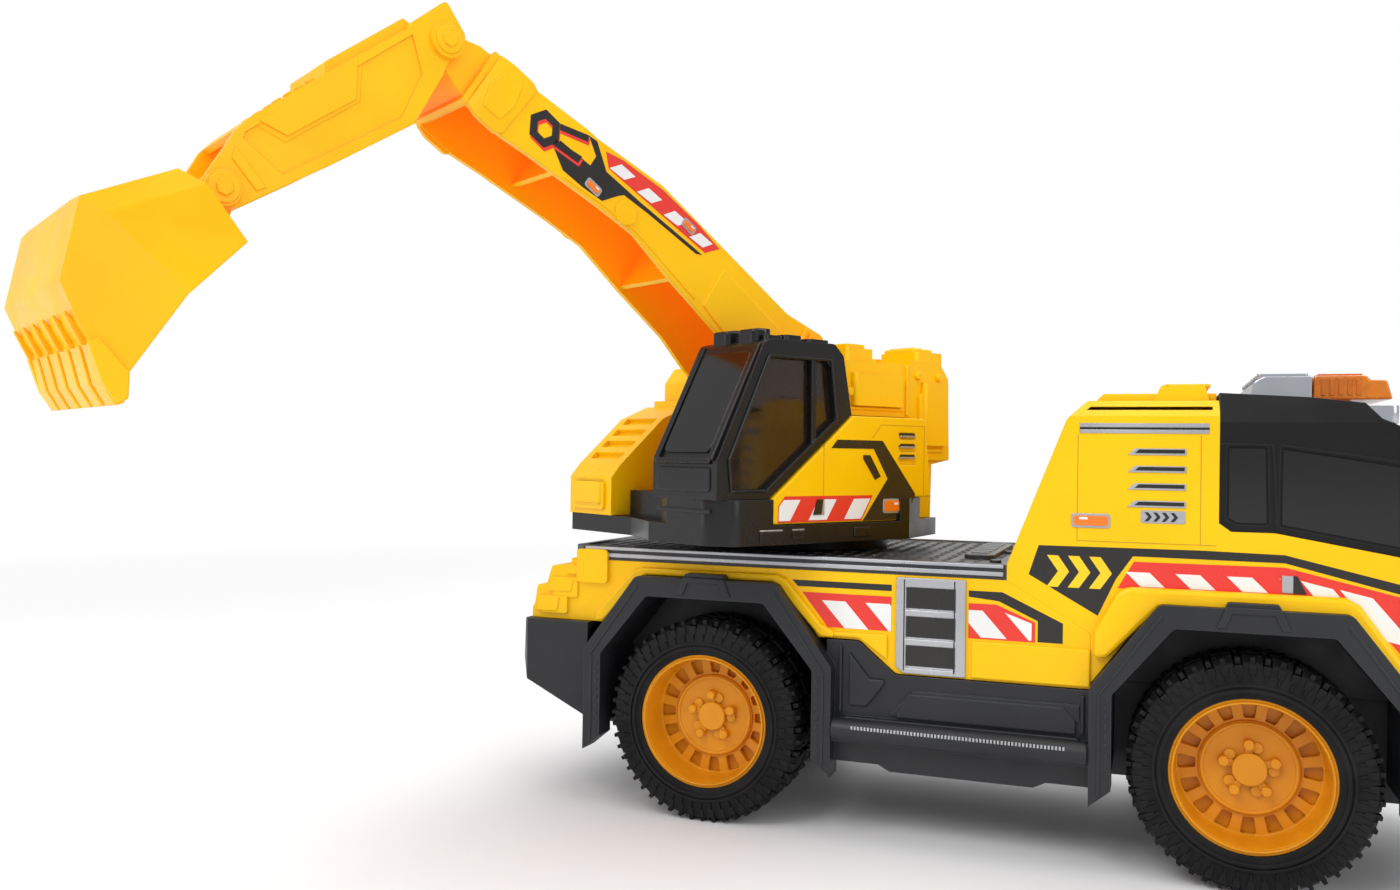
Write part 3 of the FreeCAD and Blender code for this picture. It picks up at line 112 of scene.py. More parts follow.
# ------------------------------------------------------------------ meshes
def to_object(name, bm, material, body, bevel=0.0, segments=2):
    """Turns a bmesh in metres into a piece that rides on a CAD body."""
    bmesh.ops.recalc_face_normals(bm, faces=bm.faces)
    mesh = bpy.data.meshes.new(name)
    bm.to_mesh(mesh)
    bm.free()
    item = bpy.data.objects.new(name, mesh)
    bpy.context.scene.collection.objects.link(item)
    mesh.materials.append(material)
    if bevel > 0:
        soften(item, bevel, segments)
    if body:
        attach(item, body)
    return item


def soften(item, width, segments=2, angle=30):
    """Real rounded edges, applied to the mesh."""
    modifier = item.modifiers.new("round", "BEVEL")
    modifier.width = width * MM
    modifier.segments = segments
    modifier.limit_method = "ANGLE"
    modifier.angle_limit = math.radians(angle)
    modifier.harden_normals = False
    modifier.use_clamp_overlap = True
    apply_modifiers(item)


def apply_modifiers(item):
    graph = bpy.context.evaluated_depsgraph_get()
    result = bpy.data.meshes.new_from_object(item.evaluated_get(graph))
    item.modifiers.clear()
    item.data = result


def add_slab(bm, place, outline, low, high):
    """A prism over an outline, between two heights along the plane's normal."""
    rings = []
    for height in (low, high):
        rings.append([bm.verts.new(place @ Vector((a * MM, b * MM, height * MM))) for a, b in outline])
    bm.faces.new(rings[0])
    bm.faces.new(rings[1])
    count = len(outline)
    for index in range(count):
        after = (index + 1) % count
        bm.faces.new((rings[0][index], rings[0][after], rings[1][after], rings[1][index]))


def add_rod(bm, place, centre, radius, low, high, sides=24):
    outline = [(centre[0] + radius * math.cos(2 * math.pi * k / sides),
                centre[1] + radius * math.sin(2 * math.pi * k / sides)) for k in range(sides)]
    add_slab(bm, place, outline, low, high)


def slabs(name, place, outlines, low, high, material, body, slot=None, bevel=0.0):
    bm = bmesh.new()
    for outline in outlines:
        add_slab(bm, place, outline, low, high)
    return to_object(name, bm, material, body, bevel)


def box_outline(a_low, b_low, a_high, b_high):
    return [(a_low, b_low), (a_high, b_low), (a_high, b_high), (a_low, b_high)]


def rounded_box(a_low, b_low, a_high, b_high, radius, steps=4):
    """A rectangle with round corners."""
    outline = []
    corners = ((a_high - radius, b_high - radius, 0), (a_low + radius, b_high - radius, 90),
               (a_low + radius, b_low + radius, 180), (a_high - radius, b_low + radius, 270))
    for a, b, start in corners:
        for step in range(steps + 1):
            angle = math.radians(start + 90 * step / steps)
            outline.append((a + radius * math.cos(angle), b + radius * math.sin(angle)))
    return outline


def clip(outline, window):
    """The part of an outline inside a convex window."""
    area = sum(p[0] * q[1] - q[0] * p[1] for p, q in zip(window, window[1:] + window[:1]))
    turn = 1 if area > 0 else -1
    result = list(outline)
    for start, end in zip(window, window[1:] + window[:1]):
        def depth(point):
            return turn * ((end[0] - start[0]) * (point[1] - start[1])
                           - (end[1] - start[1]) * (point[0] - start[0]))
        kept = []
        for before, here in zip(result[-1:] + result[:-1], result):
            d_before, d_here = depth(before), depth(here)
            if (d_before < 0) != (d_here < 0):
                share = d_before / (d_before - d_here)
                kept.append((before[0] + share * (here[0] - before[0]),
                             before[1] + share * (here[1] - before[1])))
            if d_here >= 0:
                kept.append(here)
        result = kept
        if not result:
            break
    return result


def stripes(start, pitch, width, lean, low, high, count, windows):
    """Slanted bars between two heights, cut to the given windows."""
    bars = []
    for number in range(count):
        a = start + pitch * number
        bar = [(a, high), (a + width, high), (a + width + lean, low), (a + lean, low)]
        for window in windows:
            piece = clip(bar, window)
            if len(piece) > 2:
                bars.append(piece)
    return bars


# ------------------------------------------------------------------ materials
def node_tree(name):
    material = bpy.data.materials.new(name)
    material.use_nodes = True
    tree = material.node_tree
    tree.nodes.clear()
    output = tree.nodes.new("ShaderNodeOutputMaterial")
    shader = tree.nodes.new("ShaderNodeBsdfPrincipled")
    tree.links.new(shader.outputs[0], output.inputs[0])
    return material, tree, shader


def noise(tree, scale, detail=3.0, stretch=(1, 1, 1)):
    """Object-space noise between 0 and 1."""
    place = tree.nodes.new("ShaderNodeTexCoord")
    mapping = tree.nodes.new("ShaderNodeMapping")
    mapping.inputs["Scale"].default_value = stretch
    texture = tree.nodes.new("ShaderNodeTexNoise")
    texture.inputs["Scale"].default_value = scale
    texture.inputs["Detail"].default_value = detail
    tree.links.new(place.outputs["Object"], mapping.inputs[0])
    tree.links.new(mapping.outputs[0], texture.inputs["Vector"])
    return texture.outputs["Fac"]


def spread(tree, value, low, high, from_low=0.35, from_high=0.65):
    node = tree.nodes.new("ShaderNodeMapRange")
    node.inputs["From Min"].default_value = from_low
    node.inputs["From Max"].default_value = from_high
    node.inputs["To Min"].default_value = low
    node.inputs["To Max"].default_value = high
    tree.links.new(value, node.inputs["Value"])
    return node.outputs[0]


def mix_colour(tree, factor, first, second):
    node = tree.nodes.new("ShaderNodeMix")
    node.data_type = "RGBA"
    tree.links.new(factor, node.inputs["Factor"])
    for socket, colour in ((6, first), (7, second)):
        if isinstance(colour, tuple):
            node.inputs[socket].default_value = (*colour, 1.0)
        else:
            tree.links.new(colour, node.inputs[socket])
    return node.outputs[2]


def moulded(name, colour, shade, rough, grain=0.02, grain_scale=2600.0, edge=(1.0, 1.0, 1.0), edge_highlight_and_wear_mix=0.12,
            metallic=0.0, coat=0.0, sheen_round=0.45, specular=0.5, painted_hollow_light=None):
    """Injection moulded surface: soft colour drift, fine grain, and edges mixed towards a lighter edge
    colour, a painted highlight that partly also stands for rubbing wear.

    Hollows, found by ambient occlusion, are mixed towards a deeper colour and given a faint emission:
    painted bounce light and painted glow for a translucent plastic; the last argument is that colour.
    """
    material, tree, shader = node_tree(name)
    drift = spread(tree, noise(tree, 28.0, 2.0), 0.0, 1.0)
    body_colour = mix_colour(tree, drift, colour, shade)
    rounding = tree.nodes.new("ShaderNodeBevel")
    rounding.samples = 4
    rounding.inputs["Radius"].default_value = sheen_round * MM
    geometry = tree.nodes.new("ShaderNodeNewGeometry")
    dot = tree.nodes.new("ShaderNodeVectorMath")
    dot.operation = "DOT_PRODUCT"
    tree.links.new(rounding.outputs[0], dot.inputs[0])
    tree.links.new(geometry.outputs["Normal"], dot.inputs[1])
    # Painted highlight, partly wear: where the rounded normal turns away from the face normal, the colour
    # is mixed towards the lighter edge colour.
    edge_highlight_and_wear = spread(tree, dot.outputs["Value"], edge_highlight_and_wear_mix, 0.0, 0.80, 0.99)
    final = mix_colour(tree, edge_highlight_and_wear, body_colour, edge)
    # Painted light: hollows get a deeper colour and a faint emission glow, in place of light bouncing
    # through the translucent plastic.
    if painted_hollow_light:
        opening = tree.nodes.new("ShaderNodeAmbientOcclusion")
        opening.samples = 4
        opening.inputs["Distance"].default_value = HOLLOW_REACH * MM
        hollow = spread(tree, opening.outputs["AO"], 1.0, 0.0, 0.20, 0.60)
        final = mix_colour(tree, hollow, final, painted_hollow_light)
        painted_glow = spread(tree, hollow, 0.0, PAINTED_HOLLOW_GLOW, 0.0, 1.0)
        shader.inputs["Emission Color"].default_value = (*painted_hollow_light, 1.0)
        tree.links.new(painted_glow, shader.inputs["Emission Strength"])
    tree.links.new(final, shader.inputs["Base Color"])
    bump = tree.nodes.new("ShaderNodeBump")
    bump.inputs["Strength"].default_value = 0.35
    bump.inputs["Distance"].default_value = grain * MM
    tree.links.new(noise(tree, grain_scale, 2.0), bump.inputs["Height"])
    tree.links.new(rounding.outputs[0], bump.inputs["Normal"])
    tree.links.new(bump.outputs[0], shader.inputs["Normal"])
    tree.links.new(spread(tree, noise(tree, 90.0, 4.0), rough * 0.85, rough * 1.2),
                   shader.inputs["Roughness"])
    shader.inputs["Metallic"].default_value = metallic
    shader.inputs["Coat Weight"].default_value = coat
    shader.inputs["Coat Roughness"].default_value = 0.12
    shader.inputs["Specular IOR Level"].default_value = specular
    return material


def clear_plastic(name, colour, rough=0.06, transmission=0.9):
    material, tree, shader = node_tree(name)
    tint = mix_colour(tree, spread(tree, noise(tree, 40.0), 0.0, 1.0), colour,
                      tuple(0.85 * c for c in colour))
    tree.links.new(tint, shader.inputs["Base Color"])
    shader.inputs["Transmission Weight"].default_value = transmission
    shader.inputs["IOR"].default_value = 1.49
    tree.links.new(spread(tree, noise(tree, 120.0), rough, rough * 2), shader.inputs["Roughness"])
    return material


def printed(name, colour, rough=0.32):
    """Printed film: even ink with a faint press grain."""
    shade = tuple(0.9 * c for c in colour)
    return moulded(name, colour, shade, rough, grain=0.008, grain_scale=4000.0, edge=colour, edge_highlight_and_wear_mix=0.0,
                   sheen_round=0.05)


# The edge colour of each surface below is its painted edge highlight, which partly also stands for wear.
YELLOW = moulded("yellow", (0.95, 0.560, 0.001), (0.91, 0.515, 0.001), 0.32, edge=(1.0, 0.72, 0.10),
                 specular=0.25)
# The arm's last colour is the painted bounce light and glow of its hollows.
ARM_YELLOW = moulded("arm_yellow", (0.97, 0.55, 0.001), (0.93, 0.49, 0.001), 0.32, edge=(1.0, 0.70, 0.12),
                     specular=0.22, painted_hollow_light=(1.0, 0.27, 0.008))
RIM_YELLOW = moulded("rim_yellow", (0.74, 0.300, 0.006), (0.64, 0.240, 0.005), 0.36,
                     edge=(0.95, 0.50, 0.05),
                     specular=0.3)
GREY = moulded("dark_grey", (0.017, 0.018, 0.021), (0.013, 0.014, 0.017), 0.46, grain=0.04,
               grain_scale=1900.0,
               edge=(0.11, 0.115, 0.13), edge_highlight_and_wear_mix=0.45, specular=0.4)
BLACK = moulded("black", (0.007, 0.007, 0.008), (0.005, 0.005, 0.006), 0.28, edge=(0.09, 0.09, 0.10),
                edge_highlight_and_wear_mix=0.4,
                specular=0.35)
CANOPY = moulded("canopy_black", (0.006, 0.006, 0.007), (0.005, 0.005, 0.005), 0.36,
                 edge=(0.07, 0.07, 0.08),
                 edge_highlight_and_wear_mix=0.5, specular=0.25)
PANE = moulded("pane_black", (0.004, 0.004, 0.005), (0.003, 0.003, 0.003), 0.10, edge=(0.05, 0.05, 0.05))
TYRE = moulded("tyre", (0.0030, 0.0030, 0.0033), (0.0020, 0.0020, 0.0022), 0.66, grain=0.06,
               grain_scale=1400.0,
               edge=(0.035, 0.035, 0.037), edge_highlight_and_wear_mix=0.4, specular=0.3)
DECK = moulded("deck", (0.040, 0.041, 0.044), (0.026, 0.027, 0.030), 0.36, grain=0.10, grain_scale=900.0,
               edge=(0.40, 0.41, 0.43), edge_highlight_and_wear_mix=0.5, metallic=0.35)
STEEL = moulded("steel", (0.52, 0.53, 0.55), (0.45, 0.46, 0.48), 0.30, edge=(0.8, 0.8, 0.8), metallic=1.0)
CHROME = moulded("bright", (0.62, 0.64, 0.67), (0.50, 0.52, 0.56), 0.16, grain=0.01, edge=(0.9, 0.9, 0.9),
                 metallic=1.0)
SILVER = moulded("silver", (0.50, 0.51, 0.53), (0.40, 0.41, 0.43), 0.30, grain=0.02, edge=(0.8, 0.8, 0.8),
                 metallic=0.6)
BOARD = moulded("board", (0.02, 0.13, 0.05), (0.015, 0.10, 0.04), 0.35)
NATURAL = moulded("natural", (0.66, 0.65, 0.60), (0.60, 0.59, 0.54), 0.42)
CELL = moulded("cell", (0.05, 0.07, 0.12), (0.30, 0.18, 0.03), 0.25, metallic=0.3)
AMBER = clear_plastic("amber", (1.0, 0.30, 0.015), 0.08, 0.55)
LENS = clear_plastic("lens", (0.92, 0.94, 0.96))
SMOKE = clear_plastic("smoke", (0.22, 0.13, 0.08), 0.05, 0.92)
INK_RED = printed("ink_red", (0.80, 0.035, 0.022))
INK_WHITE = printed("ink_white", (0.86, 0.86, 0.85))
INK_BLACK = printed("ink_black", (0.012, 0.011, 0.010), 0.26)
INK_YELLOW = printed("ink_yellow", (0.98, 0.62, 0.006))
INK_ORANGE = printed("ink_orange", (0.95, 0.20, 0.01), 0.20)
SEAM = printed("seam", (0.55, 0.30, 0.004))
BY_SLOT = {"yellow": YELLOW, "boom_yellow": ARM_YELLOW, "dark_grey": GREY, "black_gloss": BLACK,
           "smoke_glass": SMOKE,
           "deck_grey": DECK, "rim_yellow": RIM_YELLOW, "tyre_black": TYRE, "bright_plate": CHROME,
           "amber": AMBER,
           "steel": STEEL, "board_green": BOARD, "white_plastic": NATURAL, "cell_wrap": CELL,
           "ladder_silver": SILVER,
           "clear_lens": LENS}
OWN_LOOK = {"cab_canopy": CANOPY}
for node, item in NODES.items():
    material = OWN_LOOK.get(node, BY_SLOT[SLOT_OF[node]])
    item.data.materials.clear()
    item.data.materials.append(material)
    for polygon in item.data.polygons:
        polygon.material_index = 0


# ------------------------------------------------------------------ rounded copies of CAD nodes
def rounded_copy(node, width, segments=2, angle=32):
    """Stands for a CAD node with the same shape and truly rounded edges."""
    source = NODES[node]
    bm = bmesh.new()
    bm.from_mesh(source.data)
    bmesh.ops.remove_doubles(bm, verts=bm.verts, dist=0.00001)
    bmesh.ops.dissolve_limit(bm, angle_limit=math.radians(1.0), verts=bm.verts, edges=bm.edges)
    item = to_object(node + ".soft", bm, source.data.materials[0], BODY_OF[node])
    soften(item, width, segments, angle)
    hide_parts(node)
    return item


ROUND = {0.9: ["rear_body", "cab_body", "rear_bumper", "front_bumper", "side_trim_left", "side_trim_right",
               "cabin_shell", "rear_housing", "hood", "turntable"],
         0.6: ["cab_canopy", "boom", "stick", "deck_plate", "roof_block", "side_panel", "beacon_button",
               "light_bar", "boom_bracket", "chassis"],
         0.35: ["rim_front_left", "rim_front_right", "rim_rear_left", "rim_rear_right", "grille",
                "headlight_left", "headlight_right", "cabin_seat", "boom_pin", "elbow_pin", "bucket_pin",
                "battery_door", "ladder_left", "ladder_right"]}
for width, nodes in ROUND.items():
    for node in nodes:
        rounded_copy(node, width)


# ------------------------------------------------------------------ printed side graphics of the truck
BAND_PITCH = 15.1
REAR_PANEL = [(-53.2, 57.0), (-22.3, 57.0), (-22.3, 45.5), (-44.0, 45.5)]
MID_PANEL = [(3.1, 56.4), (11.9, 56.4), (24.1, 51.4), (24.1, 45.0), (3.1, 45.0)]
CAB_PANEL = [(48.8, 63.8), (53.5, 72.2), (95.8, 72.4), (150.0, 59.5), (162.0, 55.6), (162.0, 44.0),
             (130.0, 44.0),
             (113.6, 63.8)]
REAR_BAND = [(-56.8, 61.0), (-22.3, 61.0), (-22.3, 58.9), (-54.8, 58.9)]
MID_BAND = [(3.1, 60.5), (13.8, 60.5), (32.6, 51.6), (32.6, 45.2), (24.9, 45.2), (24.9, 51.9), (12.6, 57.6),
            (3.1, 58.5)]
CAB_BAND = [(21.9, 66.8), (24.9, 76.2), (72.4, 76.5), (95.7, 76.1), (125.7, 68.9), (162.0, 60.2),
            (162.0, 57.3),
            (125.7, 66.1), (95.8, 73.7), (53.2, 73.9), (48.3, 66.6), (43.0, 54.8)]
ARCH_LIP = [(42.0, 50.0), (48.6, 62.6), (51.7, 64.5), (111.7, 64.5), (115.5, 62.4), (133.6, 36.0),
            (134.0, 31.8),
            (128.0, 31.8), (111.0, 58.5), (61.0, 58.5), (46.0, 42.0), (42.0, 42.0)]


def chevrons(start, base, height, width, gap, count, lean=4.5):
    """Forward pointing arrow bars."""
    bars = []
    middle = base + height / 2
    for number in range(count):
        a = start + gap * number
        bars.append([(a, base), (a + width, base), (a + width + lean, middle), (a + width, base + height),
                     (a, base + height), (a + lean, middle)])
    return bars


def reflector(name, place, a, b, long, high, body):
    """Orange reflector print with a bright rim and a small glint."""
    slabs(name + "_rim", place, [rounded_box(a, b, a + long, b + high, 0.9)], -0.1, 0.30, SILVER, body)
    slabs(name + "_lens", place, [rounded_box(a + 0.7, b + 0.7, a + long - 0.7, b + high - 0.7, 0.6)],
          0.2, 0.62,
          INK_ORANGE, body, bevel=0.2)
    slabs(name + "_glint", place, [box_outline(a + long * 0.2, b + high * 0.58, a + long * 0.42,
                                               b + high * 0.74)],
          0.5, 0.68, INK_WHITE, body)


def vent(name, place, a, b, body, long=15.0, high=2.1):
    """Louvre with a bright sloping frame around a dark slot."""
    slabs(name + "_rim", place, [[(a, b), (a + 2.2, b + high), (a + long + 2, b + high),
                                  (a + long + 2, b)]], -0.1,
          0.35, SILVER, body, bevel=0.1)
    slabs(name + "_slot", place, [[(a + 2.1, b + 0.6), (a + 3.4, b + high - 0.35),
                                   (a + long + 1.5, b + high - 0.35),
                                   (a + long + 1.5, b + 0.6)]], 0.25, 0.45, INK_BLACK, body)


def truck_side(side):
    """Printed bands, stripes, arrows, vents and reflectors on one side of the truck."""
    tag = "right" if side < 0 else "left"
    place = side_plane(side)
    film = (-0.08, 0.10)
    top_film = (-0.06, 0.16)
    slabs("print_black_" + tag, place, [REAR_BAND, MID_BAND, CAB_BAND], *film, INK_BLACK, "truck")
    slabs("print_red_" + tag, place, [REAR_PANEL, MID_PANEL, CAB_PANEL], *film, INK_RED, "truck")
    white = stripes(-46.2 - BAND_PITCH, BAND_PITCH, 8.2, 8.0, 45.5, 54.5, 7,
                    [[(-50.5, 54.5), (-22.3, 54.5), (-22.3, 45.5), (-43.0, 45.5)],
                     [(3.1, 54.2), (14.0, 54.2), (23.0, 51.0), (23.0, 45.0), (3.1, 45.0)]])
    white += stripes(51.1, 14.4, 7.0, 4.4, 64.6, 69.0, 4, [[(49, 64), (49, 69), (94.6, 69), (94.6, 64)]])
    for a, drop in ((100.0, 0.3), (110.3, 2.4), (126.0, 6.2), (141.0, 9.8)):
        top = 69.0 - drop
        white.append([(a, top), (a + 8.5, top - 2.0), (a + 20.0, top - 16.0), (a + 11.0, top - 14.0)])
    slabs("print_white_" + tag, place, white, *top_film, INK_WHITE, "truck")
    slabs("print_arrows_" + tag, place, chevrons(27.5, 63.2, 10.0, 3.4, 6.4, 3, 3.4), *top_film,
          INK_YELLOW, "truck")
    stripe = [box_outline(37.0, 112.1, 74.7, 113.3), box_outline(37.0, 114.0, 74.7, 115.3)]
    slabs("print_stripe_" + tag, place, stripe, -0.1, 0.25, SILVER, "truck")
    slabs("print_stripe_gap_" + tag, place, [box_outline(37.0, 113.3, 74.7, 114.0)], -0.1, 0.12,
          INK_BLACK, "truck")
    for number in range(4):
        vent("vent_%s_%d" % (tag, number), place, 51.3, 89.2 + 5.4 * number, "truck")
    reflector("reflector_" + tag, place, 34.8, 82.3, 11.6, 4.5, "truck")
    badge = chevrons(56.4, 84.9, 2.8, 1.1, 2.5, 4, 1.1)
    slabs("badge_plate_" + tag, place, [rounded_box(55.3, 84.3, 68.2, 88.3, 0.5)], -0.1, 0.12, SILVER,
          "truck")
    slabs("badge_marks_" + tag, place, badge, 0.05, 0.2, INK_BLACK, "truck")
    slabs("handle_plate_" + tag, place, [box_outline(95.0, 64.8, 99.0, 70.0)], -0.1, 0.4, SILVER, "truck",
          bevel=0.1)
    slabs("handle_dark_" + tag, place, [[(98.0, 70.0), (99.1, 70.0), (101.6, 64.8), (98.0, 64.8)]], -0.1,
          0.5,
          INK_BLACK, "truck")
    lines = [box_outline(72.3, 78.0, 72.55, 111.6), box_outline(36.4, 78.0, 36.65, 111.6),
             box_outline(72.55, 78.0, 77.0, 78.25), box_outline(36.6, 78.0, 72.3, 78.25)]
    slabs("seams_" + tag, place, lines, -0.1, 0.07, SEAM, "truck")


def truck_relief(side):
    """Raised and moulded details on one side of the truck."""
    tag = "right" if side < 0 else "left"
    place = side_plane(side)
    panels = [[(4.3, 44.3), (41.0, 44.0), (41.0, 32.2), (4.3, 32.2)],
              [(-43.4, 44.2), (-23.4, 44.4), (-23.4, 36.0), (-33.0, 42.6), (-43.4, 42.6)]]
    slabs("panels_" + tag, place, panels, -0.6, 1.1, YELLOW, "truck", "yellow", bevel=0.5)
    slabs("arch_lip_" + tag, place, [ARCH_LIP], -0.4, 3.6, YELLOW, "truck", "yellow", bevel=1.4)
    rear_lip = [(-41.5, 44.5), (-46.0, 46.5), (-58.8, 61.2), (-62.0, 62.6), (-113.0, 62.6),
                (-116.5, 61.2), (-131, 45),
                (-131, 42.3), (-128, 42.3), (-111, 60.0), (-63, 60.0), (-46.5, 42.3), (-41.5, 42.3)]
    slabs("rear_lip_" + tag, place, [rear_lip], -0.4, 2.2, YELLOW, "truck", "yellow", bevel=0.8)
    ladder = side_plane(side, HALF_WIDTH + 1.2)
    slabs("ladder_gaps_" + tag, ladder, [box_outline(-17.6, 34.6 + 9.55 * k, -1.5,
                                                     41.6 + 9.55 * k) for k in range(3)],
          -0.75, -0.45, INK_BLACK, "truck")
    rails = [box_outline(-18.0, 33.0, -17.6, 63.2), box_outline(-1.5, 33.0, -1.1, 63.2)]
    slabs("ladder_lines_" + tag, ladder, rails, -0.1, 0.06, INK_BLACK, "truck")
    bar_end = axes_matrix((0, 0, 0), (0, 1, 0), (0, 0, 1), (1, 0, 0))
    bm = bmesh.new()
    add_rod(bm, bar_end, (side * 57.0, 12.4), 3.7, -40.6, 40.6, 40)
    to_object("step_bar_" + tag, bm, GREY, "truck", bevel=0.5)
    step = side_plane(side, 60.45)
    bm = bmesh.new()
    for number in range(62):
        add_slab(bm, step, box_outline(-33.6 + 1.1 * number, 13.3, -33.0 + 1.1 * number, 14.5), -0.6, 0.1)
    to_object("step_studs_" + tag, bm, SILVER, "truck")
    skirt = side_plane(side, 53.2)
    marks = [box_outline(-39.6, 17.5, -38.4, 40.0), box_outline(38.4, 17.5, 39.6, 29.8),
             [(-36, 20), (-30, 20), (-24, 28), (-24, 29.4), (-29, 29.4), (-36, 38)],
             [(-20, 17.2), (-16, 25.6), (33, 25.6), (37, 22), (37, 17.2)]]
    slabs("skirt_ribs_" + tag, skirt, marks, -0.4, 1.2, GREY, "truck", "dark_grey", bevel=0.5)
    for centre in (-87.0, 87.0):
        arch_block(tag, side, centre)


def arch_block(tag, side, centre):
    """Moulded pocket on top of a wheel arch and the ribs inside its legs."""
    plane = side_plane(side, TYRE_FACE)
    name = "%s_%s" % ("rear" if centre < 0 else "front", tag)
    block = [[(centre - 10, 54.2), (centre - 7.5, 60.6), (centre + 7.5, 60.6), (centre + 10, 54.2),
              (centre + 7.6, 54.2), (centre + 5.8, 58.6), (centre - 5.8, 58.6), (centre - 7.6, 54.2)]]
    slabs("arch_pocket_" + name, plane, block, -2.5, 0.7, GREY, "truck", "dark_grey", bevel=0.35)
    edge = []
    for turn in (-1, 1):
        edge.append([(centre + turn * 42.6, 0.0), (centre + turn * 43.6, 0.0), (centre + turn * 43.6, 31.0),
                     (centre + turn * 42.6, 31.0)])
        edge.append([(centre + turn * 42.6, 31.6), (centre + turn * 43.6, 31.0),
                     (centre + turn * 25.6, 57.2),
                     (centre + turn * 24.8, 56.4)])
    slabs("arch_groove_" + name, plane, edge, -0.3, 0.35, GREY, "truck", "dark_grey", bevel=0.15)
    ribs = [box_outline(centre + turn * 41.0 - 0.5, 3.0 + 3.0 * k, centre + turn * 41.0 + 0.5,
                        4.4 + 3.0 * k)
            for turn in (-1, 1) for k in range(9)]
    slabs("arch_ribs_" + name, plane, ribs, -0.3, 0.25, GREY, "truck", "dark_grey")


for side in (-1, 1):
    truck_side(side)
    truck_relief(side)


# ------------------------------------------------------------------ wheels
def wheel_details(axle, side):
    """Sidewall ribs, rings and tread lugs of one tyre; ribs, nuts and hub cap of its rim."""
    tag = "%s_%s" % (axle, "right" if side < 0 else "left")
    body = axle + "_wheels"
    centre = Vector(JOINTS[axle + "_axle_spin"]["pos_m"])
    outer = axes_matrix(centre + Vector((0, side * TYRE_FACE * MM, 0)), (1, 0, 0), (0, 0, 1), (0, side, 0))
    bm = bmesh.new()
    for number in range(LUG_COUNT):
        spot = outer @ Matrix.Rotation(2 * math.pi * number / LUG_COUNT, 4, "Z")
        add_slab(bm, spot, [(30.2, -0.8), (33.2, -1.1), (33.2, 1.1), (30.2, 0.8)], -1.6, -0.5)
        add_slab(bm, spot, [(28.2, -0.25), (30.4, -0.25), (30.4, 0.25), (28.2, 0.25)], -0.6, 0.2)
    to_object("tyre_shoulder_" + tag, bm, TYRE, body, bevel=0.25)
    bm = bmesh.new()
    for radius, half, height in ((25.6, 0.5, 0.55), (27.2, 0.35, 0.4)):
        ring(bm, outer, radius, half, -0.6, height)
    to_object("tyre_rings_" + tag, bm, TYRE, body)
    bm = bmesh.new()
    for row, y in enumerate((-4.6, -9.4, -18.6, -23.4)):
        for number in range(LUG_COUNT):
            angle = 2 * math.pi * (number + 0.5 * (row % 2)) / LUG_COUNT
            place = outer @ Matrix.Rotation(angle, 4, "Z") @ Matrix.Translation((34.2 * MM, 0, y * MM))
            lean = 0.5 if row < 2 else -0.5
            add_slab(bm, place, [(-0.8, -0.75), (1.0, -0.6), (1.0, 0.6), (-0.8, 0.75)], -2.0 + lean,
                     2.0 + lean)
    to_object("tyre_tread_" + tag, bm, TYRE, body)
    dish = axes_matrix(centre + Vector((0, side * RIM_FACE * MM, 0)), (1, 0, 0), (0, 0, 1), (0, side, 0))
    bm = bmesh.new()
    ring(bm, dish, 17.7, 3.4, -5.6, -4.9)
    ring(bm, dish, 13.4, 0.6, -2.6, -0.9)
    ring(bm, dish, 21.9, 0.35, 9.0, 10.6)
    for number in range(5):
        angle = 2 * math.pi * number / 5 + 0.35
        add_rod(bm, dish, (7.6 * math.cos(angle), 7.6 * math.sin(angle)), 1.55, -1.6, 1.9, 20)
        knee = dish @ Matrix.Rotation(angle, 4, "Z")
        add_slab(bm, knee, [(3.6, -1.1), (7.2, -1.1), (7.2, 1.1), (3.6, 1.1)], -1.6, 0.2)
    add_rod(bm, dish, (0, 0), 5.0, -0.2, 1.1, 40)
    to_object("rim_details_" + tag, bm, RIM_YELLOW, body, bevel=0.35)


def ring(bm, place, radius, half, low, high, sides=96):
    """A flat ring raised along the plane's normal."""
    loops = []
    for distance, height in ((radius - half, low), (radius - half, high), (radius + half, high),
                             (radius + half, low)):
        loops.append([bm.verts.new(place @ Vector((distance * math.cos(2 * math.pi * k / sides) * MM,
                                                   distance * math.sin(2 * math.pi * k / sides) * MM,
                                                   height * MM)))
                      for k in range(sides)])
    for index in range(4):
        first, second = loops[index], loops[(index + 1) % 4]
        for k in range(sides):
            after = (k + 1) % sides
            bm.faces.new((first[k], first[after], second[after], second[k]))


for axle in ("front", "rear"):
    for side in (-1, 1):
        wheel_details(axle, side)


